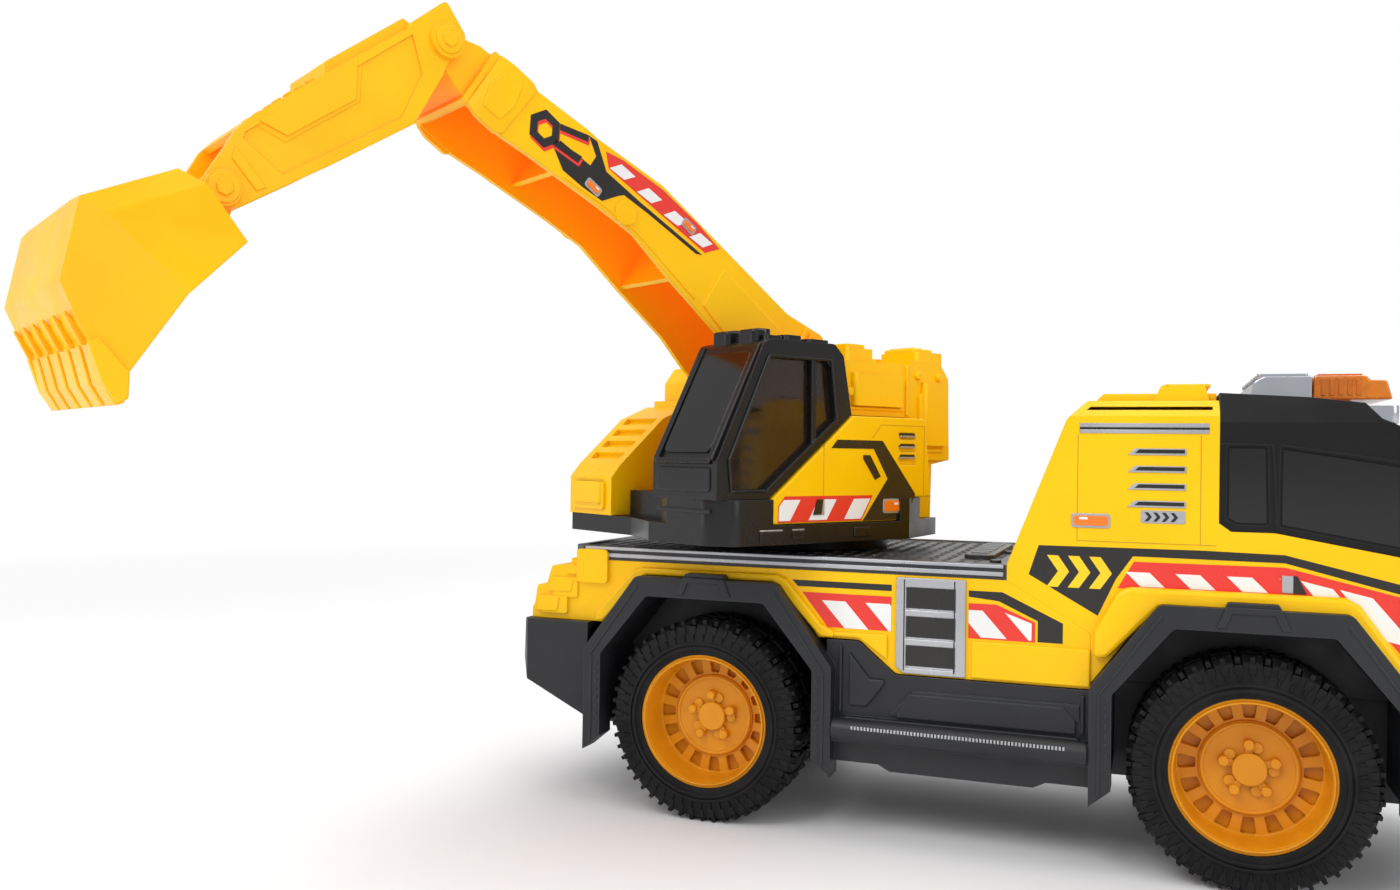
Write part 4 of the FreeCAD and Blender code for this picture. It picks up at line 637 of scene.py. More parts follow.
# ------------------------------------------------------------------ digger
def digger_graphics():
    near = digger_plane(49.0)
    slabs("digger_red", near, [[(48.2, 90.0), (5.6, 90.0), (11.2, 81.2), (51.2, 81.2), (51.0, 86.8)]],
          -0.1, 0.10,
          INK_RED, "digger")
    panel = [(48.6, 88.8), (6.9, 88.8), (11.6, 81.8), (50.9, 81.8), (50.7, 86.6)]
    white = stripes(49.6, -17.2, -8.6, 4.8, 81.7, 88.8, 3, [panel[::-1]])
    slabs("digger_white", near, white, -0.06, 0.16, INK_WHITE, "digger")
    band = [(23.6, 109.4), (0.8, 109.4), (-17.1, 90.2), (-12.4, 81.0), (10.6, 81.0), (-2.1, 95.8),
            (5.3, 106.4),
            (26.6, 106.4)]
    slabs("digger_band", near, [band], -0.1, 0.10, INK_BLACK, "digger")
    slabs("digger_slot", near, [[(10.7, 104.2), (7.2, 104.2), (1.6, 96.6), (4.5, 95.4), (10.7, 102.8)]],
          -0.1, 0.3,
          INK_BLACK, "digger", bevel=0.15)
    reflector("digger_reflector", near, -9.2, 83.4, 9.5, 5.2, "digger")
    slots = [[(-16.6, z), (-8.2, z), (-8.8, z + 1.2), (-16.0, z + 1.2)] for z in (103.4, 107.3, 111.2)]
    slabs("digger_vents", near, slots, -0.1, 0.35, INK_BLACK, "digger")
    rims = [[(-16.9, z - 0.35), (-7.8, z - 0.35), (-8.5, z + 0.3), (-16.4, z + 0.3)] for z in (103.4,
            107.3, 111.2)]
    slabs("digger_vent_rims", near, rims, -0.1, 0.45, SILVER, "digger")
    lines = [box_outline(30.0, 90.0, 30.25, 108.0), box_outline(-21.9, 90.2, -21.65, 115.2),
             box_outline(-21.65, 115.0, 1.6, 115.2), [(1.4, 115.2), (5.8, 110.2), (6.0, 110.4),
                                                      (1.7, 115.2)]]
    slabs("digger_seams", near, lines, -0.1, 0.07, SEAM, "digger")
    slabs("digger_handle", near, [box_outline(29.9, 83.6, 33.0, 88.8)], -0.1, 0.45, SILVER, "digger",
          bevel=0.1)
    slabs("digger_handle_dark", near, [[(30.6, 88.8), (33.2, 88.8), (35.2, 83.6), (31.4, 83.6)]], 0.2, 0.55,
          INK_BLACK, "digger")
    tabs = digger_plane(50.0)
    slabs("base_tabs", tabs, [box_outline(40.0, 78.6, 45.5, 79.1), box_outline(50.0, 78.6, 60.0, 79.1)],
          -0.2, 0.2,
          SILVER, "digger")
    slabs("base_pads", tabs, [rounded_box(51, 74.6, 60, 78.4, 0.6), rounded_box(40, 76.0, 45.5, 78.4, 0.5),
                              rounded_box(8, 75.4, 16, 79.0, 0.5)], -0.4, 0.5, BLACK, "digger", bevel=0.3)


def cabin_details():
    """Window frames, pillars, roof lamps and front panel lines of the cabin."""
    near = digger_plane(48.0)
    frame_side = [(71.3, 91.2), (72.5, 101.9), (55.4, 137.2), (26.0, 137.2), (23.0, 116.0), (55.4, 91.3)]
    inner = [(70.4, 92.3), (71.4, 101.8), (54.7, 136.1), (26.7, 136.1), (24.0, 116.5), (56.0, 92.4)]
    bm = bmesh.new()
    for index in range(len(inner)):
        after = (index + 1) % len(inner)
        add_slab(bm, near, [frame_side[index], frame_side[after], inner[after], inner[index]], -1.2, 0.7)
    add_slab(bm, near, [(35.6, 136.6), (33.4, 136.6), (33.0, 109.0), (35.2, 107.2)], -1.8, 0.2)
    to_object("cabin_window_frame", bm, BLACK, "digger", bevel=0.35)
    roof = digger_solid()
    bm = bmesh.new()
    slope_base, slope_top = Vector((77.1, 0, 102.0)), Vector((57.2, 0, 140.4))
    along = (slope_top - slope_base).normalized()
    outward = Vector((along.z, 0, -along.x))
    glass = Matrix.Identity(4)
    glass.col[0].xyz = Vector((0, 1, 0))
    glass.col[1].xyz = along
    glass.col[2].xyz = outward
    glass.translation = slope_base * MM
    windscreen = roof @ glass
    length = (slope_top - slope_base).length
    add_slab(bm, windscreen, rounded_box(18.5, 2.5, 43.5, length - 2.5, 2.5), -0.6, 0.45)
    to_object("cabin_windscreen", bm, PANE, "digger", bevel=0.3)
    bm = bmesh.new()
    for v in (16.6, 45.4):
        add_slab(bm, windscreen, box_outline(v - 1.2, -0.5, v + 1.2, length + 0.3), -0.5, 1.0)
    add_slab(bm, windscreen, box_outline(16.6, -1.6, 45.4, 0.4), -0.5, 0.8)
    nose = axes_matrix(SLEW_FOOT + FORWARD * 77.0 * MM, LEFT, UP, FORWARD)
    add_slab(bm, nose, rounded_box(17.0, 91.5, 45.0, 99.5, 1.2), -0.4, 0.6)
    add_slab(bm, nose, box_outline(17.0, 84.5, 45.0, 86.0), -0.4, 0.5)
    to_object("cabin_pillars", bm, BLACK, "digger", bevel=0.4)
    bm = bmesh.new()
    add_slab(bm, roof, rounded_box(26, 18, 54, 44, 3), 141.6, 143.1)
    for v in (20.0, 33.5):
        add_slab(bm, roof, rounded_box(50.5, v, 57.0, v + 9, 2.0), 139.5, 146.0)
    add_slab(bm, roof, rounded_box(28, 24, 33, 30, 1.5), 142.6, 144.6)
    to_object("cabin_roof_lamps", bm, BLACK, "digger", bevel=0.8)
    bm = bmesh.new()
    add_slab(bm, roof, rounded_box(43.5, 22, 47.5, 38, 1.5), 118, 129)
    add_slab(bm, roof, rounded_box(52, 23, 62, 37, 2), 100, 103.5)
    add_slab(bm, roof, rounded_box(62, 26, 65, 34, 1), 92, 112)
    add_rod(bm, axes_matrix(SLEW_FOOT + FORWARD * 60 * MM + LEFT * 30 * MM + UP * 112 * MM, LEFT, FORWARD,
                            UP),
            (0, 4), 5.0, 0.0, 1.6, 20)
    to_object("cabin_controls", bm, BLACK, "digger", bevel=0.8)


def housing_details():
    """Caps, ribs, panel lines and screw bosses on the yellow rear mass and hood."""
    solid = digger_solid()
    near = digger_plane(40.0)
    back = axes_matrix(SLEW_FOOT - FORWARD * 46.6 * MM, LEFT, UP, -FORWARD)
    bm = bmesh.new()
    add_slab(bm, near, rounded_box(-40, 112, -28, 128, 2), -0.5, 1.6)
    add_slab(bm, near, rounded_box(-16, 124, 6, 133, 2), -0.5, 1.2)
    add_slab(bm, near, box_outline(-22.5, 119.0, -21.0, 138.0), -0.5, 0.9)
    add_slab(bm, near, box_outline(-43.0, 105.5, -25.0, 107.0), -0.5, 0.9)
    add_slab(bm, near, box_outline(-20.0, 120.5, 12.0, 121.8), -0.5, 0.8)
    for a, b in ((-40, 134.5), (-28, 134.5), (9, 127)):
        add_rod(bm, near, (a, b), 1.6, -0.5, 1.4, 20)
    add_slab(bm, back, rounded_box(-34, 106, 28, 133, 3), -0.6, 0.9)
    for v in (-26, -13, 0, 13):
        add_slab(bm, back, rounded_box(v - 4.5, 110, v + 4.5, 129, 1.2), 0.6, 1.6)
    for v_low, v_high, u_low, u_high, low, high in (
            (20.5, 36.5, -41, -30, 143.4, 145.4), (24, 34, -6, 4, 142.8, 145.2),
            (-40, -28, -16, 6, 141.4, 143.6),
            (-40, -28, 12, 20, 137.6, 140.4), (19, 24, 8, 14, 137.6, 141.0)):
        add_slab(bm, solid, rounded_box(u_low, v_low, u_high, v_high, 1.4), low, high)
    for u in (-37, -33):
        add_slab(bm, solid, box_outline(u, 22, u + 1.4, 35), 145.0, 146.0)
    to_object("housing_relief", bm, YELLOW, "digger", bevel=0.55)
    far = digger_plane(-50.0)
    bm = bmesh.new()
    add_slab(bm, far, [(66, 84), (66, 93.5), (63, 97.0), (45, 113.4), (34, 118), (24, 118.5), (24, 84)],
             -0.5, 0.9)
    for number in range(3):
        add_slab(bm, far, box_outline(28, 88 + 6 * number, 44, 90.6 + 6 * number), 0.5, 1.5)
    to_object("hood_relief", bm, YELLOW, "digger", bevel=0.5)
    front = axes_matrix(SLEW_FOOT + FORWARD * 69.0 * MM, LEFT, UP, FORWARD)
    bm = bmesh.new()
    add_slab(bm, front, rounded_box(-47, 82.5, -26, 93.0, 1.5), -0.5, 1.2)
    for number in range(4):
        add_slab(bm, front, box_outline(-44.5, 84.2 + 2.2 * number, -28.5, 85.2 + 2.2 * number), 0.9, 1.7)
    to_object("hood_front", bm, YELLOW, "digger", bevel=0.35)


digger_graphics()
cabin_details()
housing_details()


# ------------------------------------------------------------------ arm
def boom_graphics(side):
    """Print on one side of the boom: stripes, reflectors and a plain nut-and-bars mark."""
    tag = "near" if side > 0 else "far"
    face = link_plane(BOOM_FOOT, ELBOW, side, BOOM_HALF)
    fork = [(129.0, 12.6), (125.5, 13.3), (117.1, 7.6), (101.1, 8.6), (70.2, 11.5), (72.5, 10.0),
            (96.7, 7.6),
            (107.4, 6.1), (109.2, 4.0), (113.5, -2.4), (130.0, -3.6), (137.5, 0.5), (136.0, 3.6),
            (123.0, 4.9),
            (123.0, 9.0)]
    slabs("boom_black_" + tag, face, [fork], -0.1, 0.10, INK_BLACK, "boom")
    panel = [(121.0, 13.0), (114.3, 15.4), (96.0, 18.6), (77.5, 19.2), (65.3, 18.4), (69.6, 12.9),
             (117.0, 9.1)]
    slabs("boom_red_" + tag, face, [panel], -0.1, 0.10, INK_RED, "boom")
    blocks = []
    for number in range(4):
        a = 117.0 - 12.9 * number
        low = 9.4 + 1.15 * number
        blocks.append([(a, low), (a - 3.0, low + 4.4), (a - 9.6, low + 4.9), (a - 6.8, low + 0.9)])
    slabs("boom_white_" + tag, face, blocks, -0.06, 0.16, INK_WHITE, "boom")
    reflector("boom_reflector_" + tag, face, 114.8, -1.9, 6.6, 3.4, "boom")
    reflector("boom_reflector_top_" + tag, face, 77.3, 14.0, 6.4, 3.4, "boom")
    emblem = [[(142.5 + r * math.cos(t), 2.6 + r * math.sin(t))
               for r, t in ((6.2, first), (6.2, first + HEX), (3.2, first + HEX), (3.2, first))]
              for first in (HEX * number for number in range(6))]
    emblem += [[(127.0, 2.2), (137.5, 0.4), (137.5, 2.6), (127.0, 5.0)],
               [(128.0, 10.6), (138.2, 6.2), (139.2, 8.0), (129.0, 12.6)]]
    shade = [[(a - 0.9, b - 0.7) for a, b in bar] for bar in emblem]
    slabs("boom_emblem_shade_" + tag, face, shade, -0.08, 0.13, INK_RED, "boom")
    slabs("boom_emblem_" + tag, face, emblem, -0.06, 0.18, INK_BLACK, "boom")


def boom_relief():
    """Moulded ridges, ribs, pin caps and the inner webs of the boom."""
    bm = bmesh.new()
    for side in (-1, 1):
        face = link_plane(BOOM_FOOT, ELBOW, side, BOOM_HALF)
        add_rod(bm, face, (103.5, 1.6), 4.4, -0.5, 0.9, 40)
        edge = [(64, -3.8), (96.5, -1.0), (112.7, -2.8), (129, -5.6), (129, -4.4), (112.8, -1.6),
                (96.4, 0.2),
                (64, -2.6)]
        add_slab(bm, face, edge, -0.4, 0.5)
        add_slab(bm, face, [(20, 12.5), (60, 13.6), (60, -3.0), (34, -7.4), (20, -8.0)], -0.4, 0.6)
        for number in range(3):
            add_slab(bm, face, box_outline(8 + 3.2 * number, 12.0, 9.6 + 3.2 * number, 21.6), -0.4, 1.1)
        tip = link_plane(BOOM_FOOT, ELBOW, side, BOOM_HALF + 0.8)
        add_slab(bm, tip, [(156, -7), (163, -7.6), (165, 0), (163, 7), (156, 7.6), (154.5, 0)], -0.4, 0.4)
    top = axes_matrix(BOOM_FOOT, (ELBOW - BOOM_FOOT).normalized(), LEFT,
                      LEFT.cross((ELBOW - BOOM_FOOT).normalized()) * -1)
    for a, high in ((30.0, 20.0), (47.0, 20.0), (64.0, 20.0)):
        add_slab(bm, top, rounded_box(a, -13, a + 12, 13, 2), high - 0.5, high + 0.8)
    add_slab(bm, top, rounded_box(153, -14, 165, 14, 2.5), 9.0, 11.4)
    to_object("boom_relief", bm, ARM_YELLOW, "boom", bevel=0.4)


def stick_relief():
    bm = bmesh.new()
    for side in (-1, 1):
        face = link_plane(ELBOW, BUCKET_PIN, side, STICK_HALF)
        for a in (0.0, 84.2):
            add_rod(bm, face, (a, 0), 4.2, 1.2, 2.2, 40)
            add_rod(bm, face, (a, 0), 2.4, 1.8, 2.8, 6)
        add_slab(bm, face, [(66, 9.3), (26.5, 8.7), (35.5, -1.0), (61.5, 0.8)], -0.8, -0.35)
        add_slab(bm, face, [(74, 7.0), (77, 5.0), (77, -5.4), (74, -6.0)], -0.4, 0.5)
        for a in (42, 46, 50, 54):
            add_slab(bm, face, box_outline(a, 9.0, a + 2.0, 11.4), -6.0, -3.0)
    to_object("stick_relief", bm, ARM_YELLOW, "stick", bevel=0.3)


def bucket_ring(at_side, wall=0.0):
    """Bucket outline across its middle or at its flat side faces, moved in by a wall."""
    front = [(41.9 - wall, -30.9), (37.6 - wall, -40.6 + wall * 0.6), (34.6 - wall, -45.2 + wall * 0.6),
             (26.9 - wall * 0.7, -51.6 + wall)]
    if at_side:
        return [(31.5, -14.4 - wall), (32.6, -13.6 - wall), (38.0 - wall, -10.7 - wall)] + front
    return [(6.8 + wall, -1.7 - 1.2 * wall), (14.0, 1.2 - wall), (38.0 - wall, -10.2 - wall)] + front


def loft(bm, place, rings):
    """Skin through rings of (a, b) points, each at its own c; closes both ends."""
    loops = [[bm.verts.new(place @ Vector((a * MM, b * MM, c * MM))) for a, b in outline] for c,
             outline in rings]
    for first, second in zip(loops, loops[1:]):
        for k in range(len(first)):
            after = (k + 1) % len(first)
            bm.faces.new((first[k], first[after], second[after], second[k]))
    bm.faces.new(loops[0])
    bm.faces.new(loops[-1])


def make_bucket():
    """Stands for the CAD bucket: the same form with rounded edges, plus its lip, teeth and lugs."""
    place = axes_matrix(BUCKET_PIN, FORWARD, UP, LEFT)
    half, shoulder, skin = 37.8, 28.0, 2.0
    middle_mouth = [(13.4, -31.9), (-3.6, -15.2)]
    side_mouth = [(13.6, -31.4), (13.0, -30.8)]
    open_middle = [(16.0, -60.0), (-26.0, -34.0), (-4.4, -17.2)]
    open_side = [(16.0, -60.0), (12.5, -34.5), (13.9, -31.6)]
    outer, inner = bmesh.new(), bmesh.new()
    middle, side_face = bucket_ring(False) + middle_mouth, bucket_ring(True) + side_mouth
    loft(outer, place, [(-half, side_face), (-shoulder, middle), (shoulder, middle), (half, side_face)])
    middle, side_face = bucket_ring(False, skin) + open_middle, bucket_ring(True, skin) + open_side
    in_half, in_shoulder = half - skin, shoulder - 1
    loft(inner, place, [(-in_half, side_face), (-in_shoulder, middle), (in_shoulder, middle),
                        (in_half, side_face)])
    shell = to_object("bucket_shell", outer, ARM_YELLOW, None)
    core = to_object("bucket_core", inner, ARM_YELLOW, None)
    hollow = shell.modifiers.new("hollow", "BOOLEAN")
    hollow.operation = "DIFFERENCE"
    hollow.solver = "EXACT"
    hollow.object = core
    apply_modifiers(shell)
    bpy.data.objects.remove(core)
    soften(shell, 0.9, 3, 12)
    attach(shell, "bucket")
    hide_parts("bucket")
    bm = bmesh.new()
    tooth = [(35.6, -43.6), (32.8, -54.0), (29.6, -59.3), (27.6, -58.6), (26.6, -50.2)]
    add_slab(bm, place, [(34.0, -45.2), (31.8, -53.4), (29.2, -57.8), (27.6, -57.6), (26.9, -50.6)],
             -half, half)
    for number in range(6):
        centre = (half - 4.8) * (2 * number / 5 - 1)
        add_slab(bm, place, tooth, centre - 4.8, centre + 4.8)
        gusset = [(39.8, -37.2), (40.4, -37.6), (36.4, -45.4), (33.6, -44.6)]
        add_slab(bm, place, gusset, centre - 0.7, centre + 0.7)
    for sign in (-1, 1):
        lug = [(-4.6, -1.5), (-4.0, 2.6), (-1.0, 4.8), (2.6, 4.2), (12.5, -3.6), (11.0, -7.0), (1.6, -14.6),
               (-0.6, -14.6)]
        add_slab(bm, place, lug, sign * 11.0, sign * 14.4)
    to_object("bucket_teeth", bm, ARM_YELLOW, "bucket", bevel=0.7)
    bm = bmesh.new()
    for sign in (-1, 1):
        cheek = axes_matrix(BUCKET_PIN + LEFT * sign * half * MM, FORWARD, UP, LEFT * sign)
        add_slab(bm, cheek, [(26.8, -51.4), (27.0, -57.6), (29.4, -59.0), (32.9, -53.8), (36.0, -44.8),
                             (33.6, -43.4)],
                 -1.6, 1.3)
    to_object("bucket_edges", bm, ARM_YELLOW, "bucket", bevel=0.4)


for side in (-1, 1):
    boom_graphics(side)
boom_relief()
stick_relief()
make_bucket()


# ------------------------------------------------------------------ deck, roof, front and rear
def deck_details():
    """Chequered tread, rim strips and bolt heads of the load deck."""
    top = axes_matrix((0, 0, 0), (1, 0, 0), (0, 1, 0), (0, 0, 1))
    bm = bmesh.new()
    pitch = 5.2
    for column in range(29):
        for row in range(19):
            x, y = -136.5 + pitch * column, -46.8 + pitch * row
            if math.hypot(x - SLEW_X, y) <= BASE_RADIUS:
                continue
            tilt = math.radians(45 if (column + row) % 2 else -45)
            place = top @ Matrix.Translation((x * MM, y * MM, 0)) @ Matrix.Rotation(tilt, 4, "Z")
            add_slab(bm, place, [(-1.7, -0.1), (-1.2, -0.5), (1.2, -0.5), (1.7, 0.1), (1.2, 0.5),
                                 (-1.2, 0.5)], 68.6,
                     69.12)
    to_object("deck_tread", bm, DECK, "truck")
    bm = bmesh.new()
    for side in (-1, 1):
        edge = side_plane(side, 52.3)
        add_slab(bm, edge, box_outline(-136, 65.6, 14.0, 67.0), -0.3, 0.35)
        add_slab(bm, edge, box_outline(-136, 68.2, 14.0, 69.3), -0.3, 0.5)
    to_object("deck_edge", bm, SILVER, "truck", bevel=0.15)
    bm = bmesh.new()
    for x, y in ((-134, 0), (10, -40), (10, 40), (10, 0)):
        add_rod(bm, top, (x, y), 2.0, 68.6, 70.0, 6)
    add_slab(bm, top, rounded_box(-2, -30, 8, 30, 2), 68.6, 70.6)
    for number in range(7):
        add_slab(bm, top, box_outline(0, -27 + 8 * number, 6, -21 + 8 * number), 70.2, 71.1)
    to_object("deck_fittings", bm, DECK, "truck", bevel=0.35)


def roof_details():
    """Glazing bars, roof ribs, reflector grid and lens ribs."""
    top = axes_matrix((0, 0, 0), (1, 0, 0), (0, 1, 0), (0, 0, 1))
    bm = bmesh.new()
    for side in (-1, 1):
        place = side_plane(side, HALF_WIDTH - 0.4)
        bars = [[(77.9, 109.4), (91.9, 109.2), (91.9, 108.6), (77.9, 108.8)],
                [(92.0, 109.0), (92.6, 109.0), (94.0, 83.4), (93.2, 83.4)],
                [(94.2, 109.2), (125.4, 104.8), (141.6, 101.6), (141.4, 101.0), (125.2, 104.1),
                 (94.2, 108.5)]]
        for bar in bars:
            add_slab(bm, place, bar, -0.3, 0.45)
    to_object("canopy_bars", bm, CANOPY, "truck", bevel=0.12)
    for side in (-1, 1):
        place = side_plane(side, HALF_WIDTH - 1.1)
        tag = "right" if side < 0 else "left"
        panes = [[(80.2, 86.6), (82.8, 85.2), (90.9, 85.2), (90.4, 108.0), (80.2, 108.0)],
                 [(94.8, 85.0), (150.0, 75.2), (141.0, 100.6), (95.0, 107.8)]]
        slabs("canopy_panes_" + tag, place, panes, -0.3, 0.35, PANE, "truck", "black_gloss", bevel=0.2)
    bm = bmesh.new()
    add_slab(bm, top, rounded_box(63, -38, 74, 38, 1.5), 126.6, 127.9)
    for number in range(12):
        add_slab(bm, top, box_outline(62.2, -37 + 6.4 * number, 75.4, -34.4 + 6.4 * number), 127.2, 128.3)
    for number in range(3):
        add_slab(bm, top, rounded_box(44 + 5.4 * number, -30, 47 + 5.4 * number, 30, 1.2), 124.4, 125.7)
    to_object("roof_ribs", bm, YELLOW, "truck", bevel=0.3)
    bm = bmesh.new()
    for number in range(9):
        y = -30 + 7.5 * number
        add_slab(bm, top, box_outline(88.5, y - 0.35, 104.2, y + 0.35), 129.8, 131.2)
    add_slab(bm, top, rounded_box(89, -33, 103.4, -30.6, 0.8), 129.8, 131.6)
    add_slab(bm, top, rounded_box(89, 30.6, 103.4, 33, 0.8), 129.8, 131.6)
    to_object("light_bar_ribs", bm, CHROME, "truck", bevel=0.15)
    bm = bmesh.new()
    for number in range(16):
        y = -31 + 4.0 * number
        add_slab(bm, top, box_outline(106.2, y, 118.6, y + 2.2), 130.2, 131.5)
    for side in (-1, 1):
        face = side_plane(side, 33.0)
        for number in range(5):
            add_slab(bm, face, box_outline(107 + 2.4 * number, 124.6, 108.3 + 2.4 * number, 130.0), -0.3,
                     0.5)
    to_object("beacon_ribs", bm, AMBER, "beacon", bevel=0.25)


def front_details():
    """Windscreen, wipers, lamps, bumper parts and the stripes on nose and bumper."""
    nose = axes_matrix((0.166, 0, 0), (0, 1, 0), (0, 0, 1), (1, 0, 0))
    low, high = Vector((0.1562, 0, 0.0722)), Vector((0.1442, 0, 0.1052))
    along = (high - low).normalized()
    screen = axes_matrix(low, (0, 1, 0), along, Vector((along.z, 0, -along.x)))
    slabs("windscreen", screen, [rounded_box(-44, 2.5, 44, 33.5, 4)], -0.9, 0.5, PANE, "truck",
          "black_gloss",
          bevel=0.3)
    wipers = [[(8, 3), (9.2, 3), (30, 18), (29.2, 19)], [(-30, 3), (-28.8, 3), (-8, 18), (-8.8, 19)]]
    slabs("wipers", screen, wipers, 0.3, 1.3, BLACK, "truck", bevel=0.25)
    bm = bmesh.new()
    for side in (-1, 1):
        add_rod(bm, nose, (side * 37, 49.5), 4.6, 2.0, 3.4, 32)
    to_object("lamp_lenses", bm, LENS, "truck", bevel=0.5)
    bm = bmesh.new()
    for side in (-1, 1):
        ring(bm, nose @ Matrix.Translation((side * 37 * MM, 49.5 * MM, 0)), 5.3, 0.5, 1.8, 3.2, 40)
    to_object("lamp_rims", bm, CHROME, "truck")
    bm = bmesh.new()
    bumper = axes_matrix((0.1705, 0, 0), (0, 1, 0), (0, 0, 1), (1, 0, 0))
    add_slab(bm, bumper, rounded_box(-22, 15, 22, 26, 2), -0.5, 1.4)
    for side in (-1, 1):
        add_slab(bm, bumper, rounded_box(side * 37 - 7, 17, side * 37 + 7, 25, 2), -0.5, 1.2)
        add_slab(bm, nose, rounded_box(side * 37 - 9.5, 41.5, side * 37 + 9.5, 58, 2.5), -0.5, 0.9)
    to_object("bumper_blocks", bm, GREY, "truck", bevel=0.5)
    slabs("fog_lamps", bumper, [rounded_box(s * 37 - 4, 19, s * 37 + 4, 23.4, 1.4) for s in (-1, 1)], 0.9,
          1.8, LENS,
          "truck", "clear_lens", bevel=0.3)
    slabs("nose_stripe", nose, [box_outline(-46, 32.6, 46, 34.4)], -0.2, 0.3, INK_BLACK, "truck")
    marks = stripes(-47, 9.0, 4.5, 3.0, 26.9, 30.2, 10, [[(-46, 26.9), (-46, 30.2), (46, 30.2),
                                                          (46, 26.9)]])
    slabs("bumper_marks", bumper, marks, -0.2, 0.25, INK_WHITE, "truck")


def rear_details():
    """Tail lamps, plate, tow eye and moulded panels of the tail."""
    tail = axes_matrix((-0.157, 0, 0), (0, -1, 0), (0, 0, 1), (-1, 0, 0))
    bumper = axes_matrix((-0.1608, 0, 0), (0, -1, 0), (0, 0, 1), (-1, 0, 0))
    for side in (-1, 1):
        tag = "left" if side < 0 else "right"
        lamp = [rounded_box(side * 38 - 8.5, 29.5, side * 38 + 8.5, 37.5, 1.5)]
        slabs("tail_lamp_case_" + tag, bumper, lamp, -0.5, 0.9, GREY, "truck", "dark_grey", bevel=0.3)
        slabs("tail_lamp_red_" + tag, bumper, [rounded_box(side * 41.5 - 3.8, 30.7, side * 41.5 + 3.8,
                                                           36.3, 1)], 0.6,
              1.6, INK_RED, "truck", bevel=0.3)
        slabs("tail_lamp_amber_" + tag, bumper, [rounded_box(side * 33.4 - 2.6, 30.7, side * 33.4 + 2.6,
                                                             36.3, 1)],
              0.6, 1.6, INK_ORANGE, "truck", bevel=0.3)
        reflector("tail_reflector_" + tag, tail, side * 36 - 5.0, 43.6, 10.0, 3.2, "truck")
    slabs("tail_panel", bumper, [rounded_box(-20, 23, 20, 37.5, 2)], -0.4, 0.8, GREY, "truck",
          "dark_grey", bevel=0.4)
    slabs("tail_marks", bumper, stripes(-19, 7.6, 3.8, 3.0, 31.5, 35.5, 5,
                                        [box_outline(-18, 31.5, 18, 35.5)]), 0.6,
          1.0, INK_WHITE, "truck")
    bm = bmesh.new()
    hook = axes_matrix((-0.161, 0, 0), (-1, 0, 0), (0, 0, 1), (0, 1, 0))
    add_slab(bm, hook, [(-2, 24), (4, 24), (7, 26), (7, 30), (5.4, 30), (5.2, 27), (3, 26.4), (-2, 27)],
             -2.2, 2.2)
    to_object("tow_hook", bm, GREY, "truck", bevel=0.5)
    bm = bmesh.new()
    for side in (-1, 1):
        place = side_plane(side)
        add_slab(bm, place, [(-155.5, 44.6), (-147.0, 44.6), (-146.0, 50.0), (-154.4, 50.4)], -0.5, 1.6)
        add_slab(bm, place, [(-151.5, 52.0), (-141.5, 52.0), (-140.5, 56.6), (-149.5, 57.6)], -0.5, 1.2)
        add_slab(bm, place, [(-144.0, 58.6), (-127.6, 58.6), (-126.6, 62.0), (-142.0, 62.2)], -0.5, 1.0)
    to_object("tail_blocks", bm, YELLOW, "truck", bevel=0.45)


deck_details()
roof_details()
front_details()
rear_details()


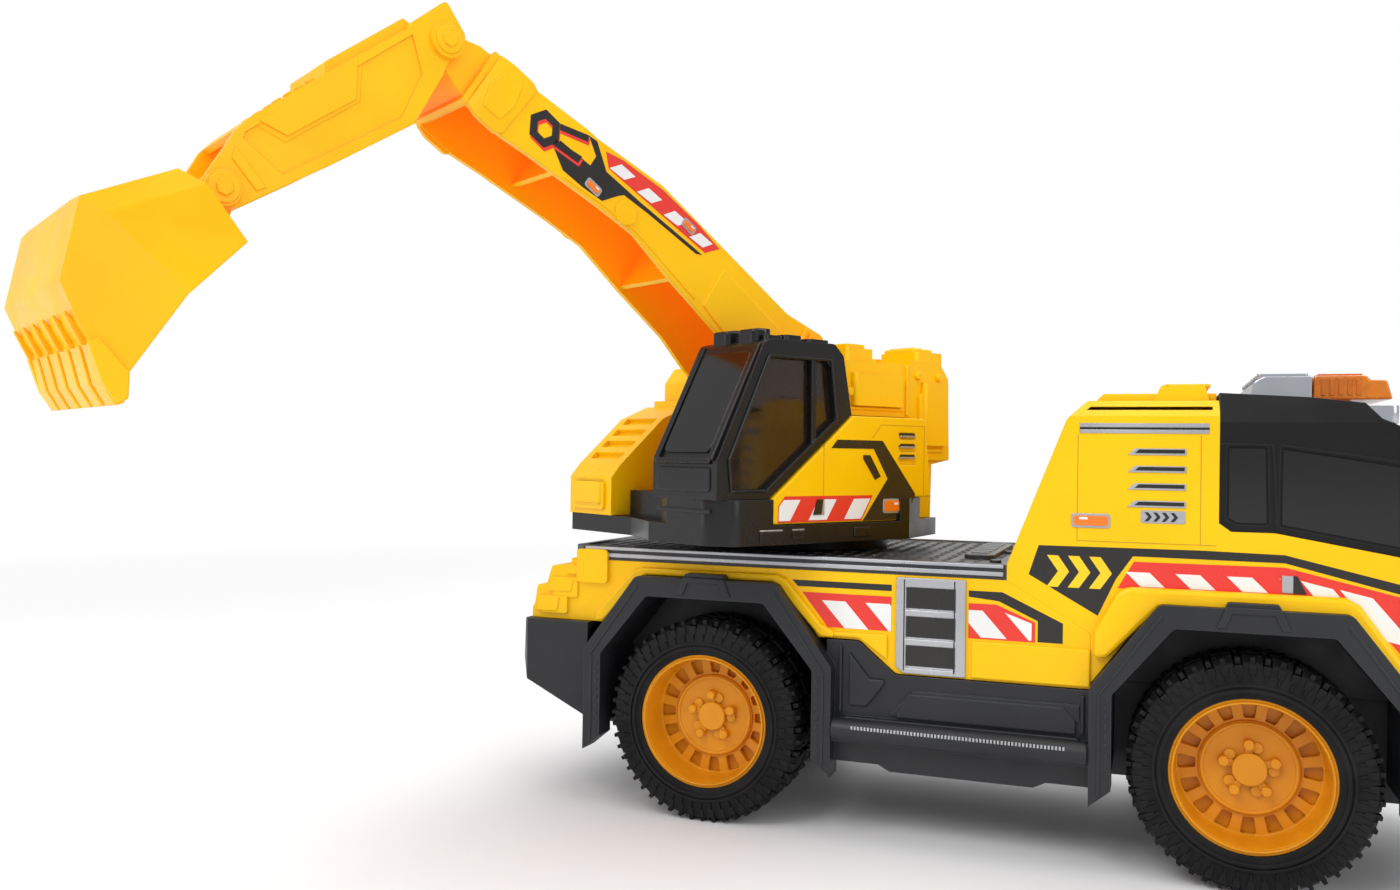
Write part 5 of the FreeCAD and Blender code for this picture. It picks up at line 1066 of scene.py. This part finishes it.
# ------------------------------------------------------------------ stage
def add_stage():
    """A pale floor that fades to white with distance, soft lights and a white surround."""
    ground = JOINTS["front_axle_spin"]["pos_m"][2] - TYRE_RADIUS * MM
    mesh = bpy.data.meshes.new("floor")
    size = 6.0
    mesh.from_pydata([(-size, -size, ground), (size, -size, ground), (size, size, ground),
                      (-size, size, ground)], [],
                     [(0, 1, 2, 3)])
    floor = bpy.data.objects.new("floor", mesh)
    bpy.context.scene.collection.objects.link(floor)
    material, tree, shader = node_tree("floor")
    tint = mix_colour(tree, spread(tree, noise(tree, 1.2), 0.0, 1.0), (0.86, 0.86, 0.86),
                      (0.82, 0.82, 0.83))
    tree.links.new(tint, shader.inputs["Base Color"])
    shader.inputs["Roughness"].default_value = 0.75
    place = tree.nodes.new("ShaderNodeNewGeometry")
    distance = tree.nodes.new("ShaderNodeVectorMath")
    distance.operation = "LENGTH"
    tree.links.new(place.outputs["Position"], distance.inputs[0])
    white = tree.nodes.new("ShaderNodeEmission")
    fade = tree.nodes.new("ShaderNodeMixShader")
    tree.links.new(spread(tree, distance.outputs["Value"], 0.0, 1.0, 0.35, 1.3), fade.inputs[0])
    tree.links.new(shader.outputs[0], fade.inputs[1])
    tree.links.new(white.outputs[0], fade.inputs[2])
    output = next(node for node in tree.nodes if node.type == "OUTPUT_MATERIAL")
    tree.links.new(fade.outputs[0], output.inputs[0])
    mesh.materials.append(material)
    lights = [("key", (-0.55, -1.15, 1.25), 12.2, 0.9), ("fill", (1.15, -0.85, 0.75), 6.0, 1.1),
              ("top", (0.0, 0.15, 1.6), 9.0, 1.4), ("rim", (0.2, 1.25, 0.95), 6.0, 0.9),
              ("low", (-0.95, -0.65, 0.10), 1.6, 0.6)]
    target = Vector((-0.03, -0.03, 0.07))
    for name, spot, power, side in lights:
        data = bpy.data.lights.new(name, "AREA")
        data.energy = power
        data.size = side
        lamp = bpy.data.objects.new(name, data)
        lamp.location = spot
        lamp.rotation_euler = (target - Vector(spot)).to_track_quat("-Z", "Y").to_euler()
        bpy.context.scene.collection.objects.link(lamp)
    bpy.context.scene.view_settings.view_transform = "Standard"
    world = bpy.data.worlds.new("studio")
    world.use_nodes = True
    background = world.node_tree.nodes["Background"]
    background.inputs[0].default_value = (1.0, 1.0, 1.0, 1.0)
    path = world.node_tree.nodes.new("ShaderNodeLightPath")
    strength = world.node_tree.nodes.new("ShaderNodeMapRange")
    strength.inputs["To Min"].default_value = 0.62
    strength.inputs["To Max"].default_value = 1.0
    world.node_tree.links.new(path.outputs["Is Camera Ray"], strength.inputs["Value"])
    world.node_tree.links.new(strength.outputs[0], background.inputs[1])
    bpy.context.scene.world = world


def add_camera():
    """Three quarter view from low on the truck's right side, turned towards its tail."""
    yaw, pitch, roll = math.radians(21.176), math.radians(0.407), math.radians(0.824)
    ahead = Vector((-math.sin(yaw) * math.cos(pitch), math.cos(yaw) * math.cos(pitch), math.sin(pitch)))
    level = Vector((math.cos(yaw), math.sin(yaw), 0))
    above = level.cross(ahead)
    right = level * math.cos(roll) + above * math.sin(roll)
    up = above * math.cos(roll) - level * math.sin(roll)
    data = bpy.data.cameras.new("camera")
    data.sensor_width = 36.0
    data.lens = 30.41
    data.clip_start = 0.01
    camera = bpy.data.objects.new("camera", data)
    camera.matrix_world = axes_matrix((0.06013, -0.44385, 0.10394), right, up, -ahead)
    bpy.context.scene.collection.objects.link(camera)
    bpy.context.scene.camera = camera


add_stage()
add_camera()
bpy.context.view_layer.update()
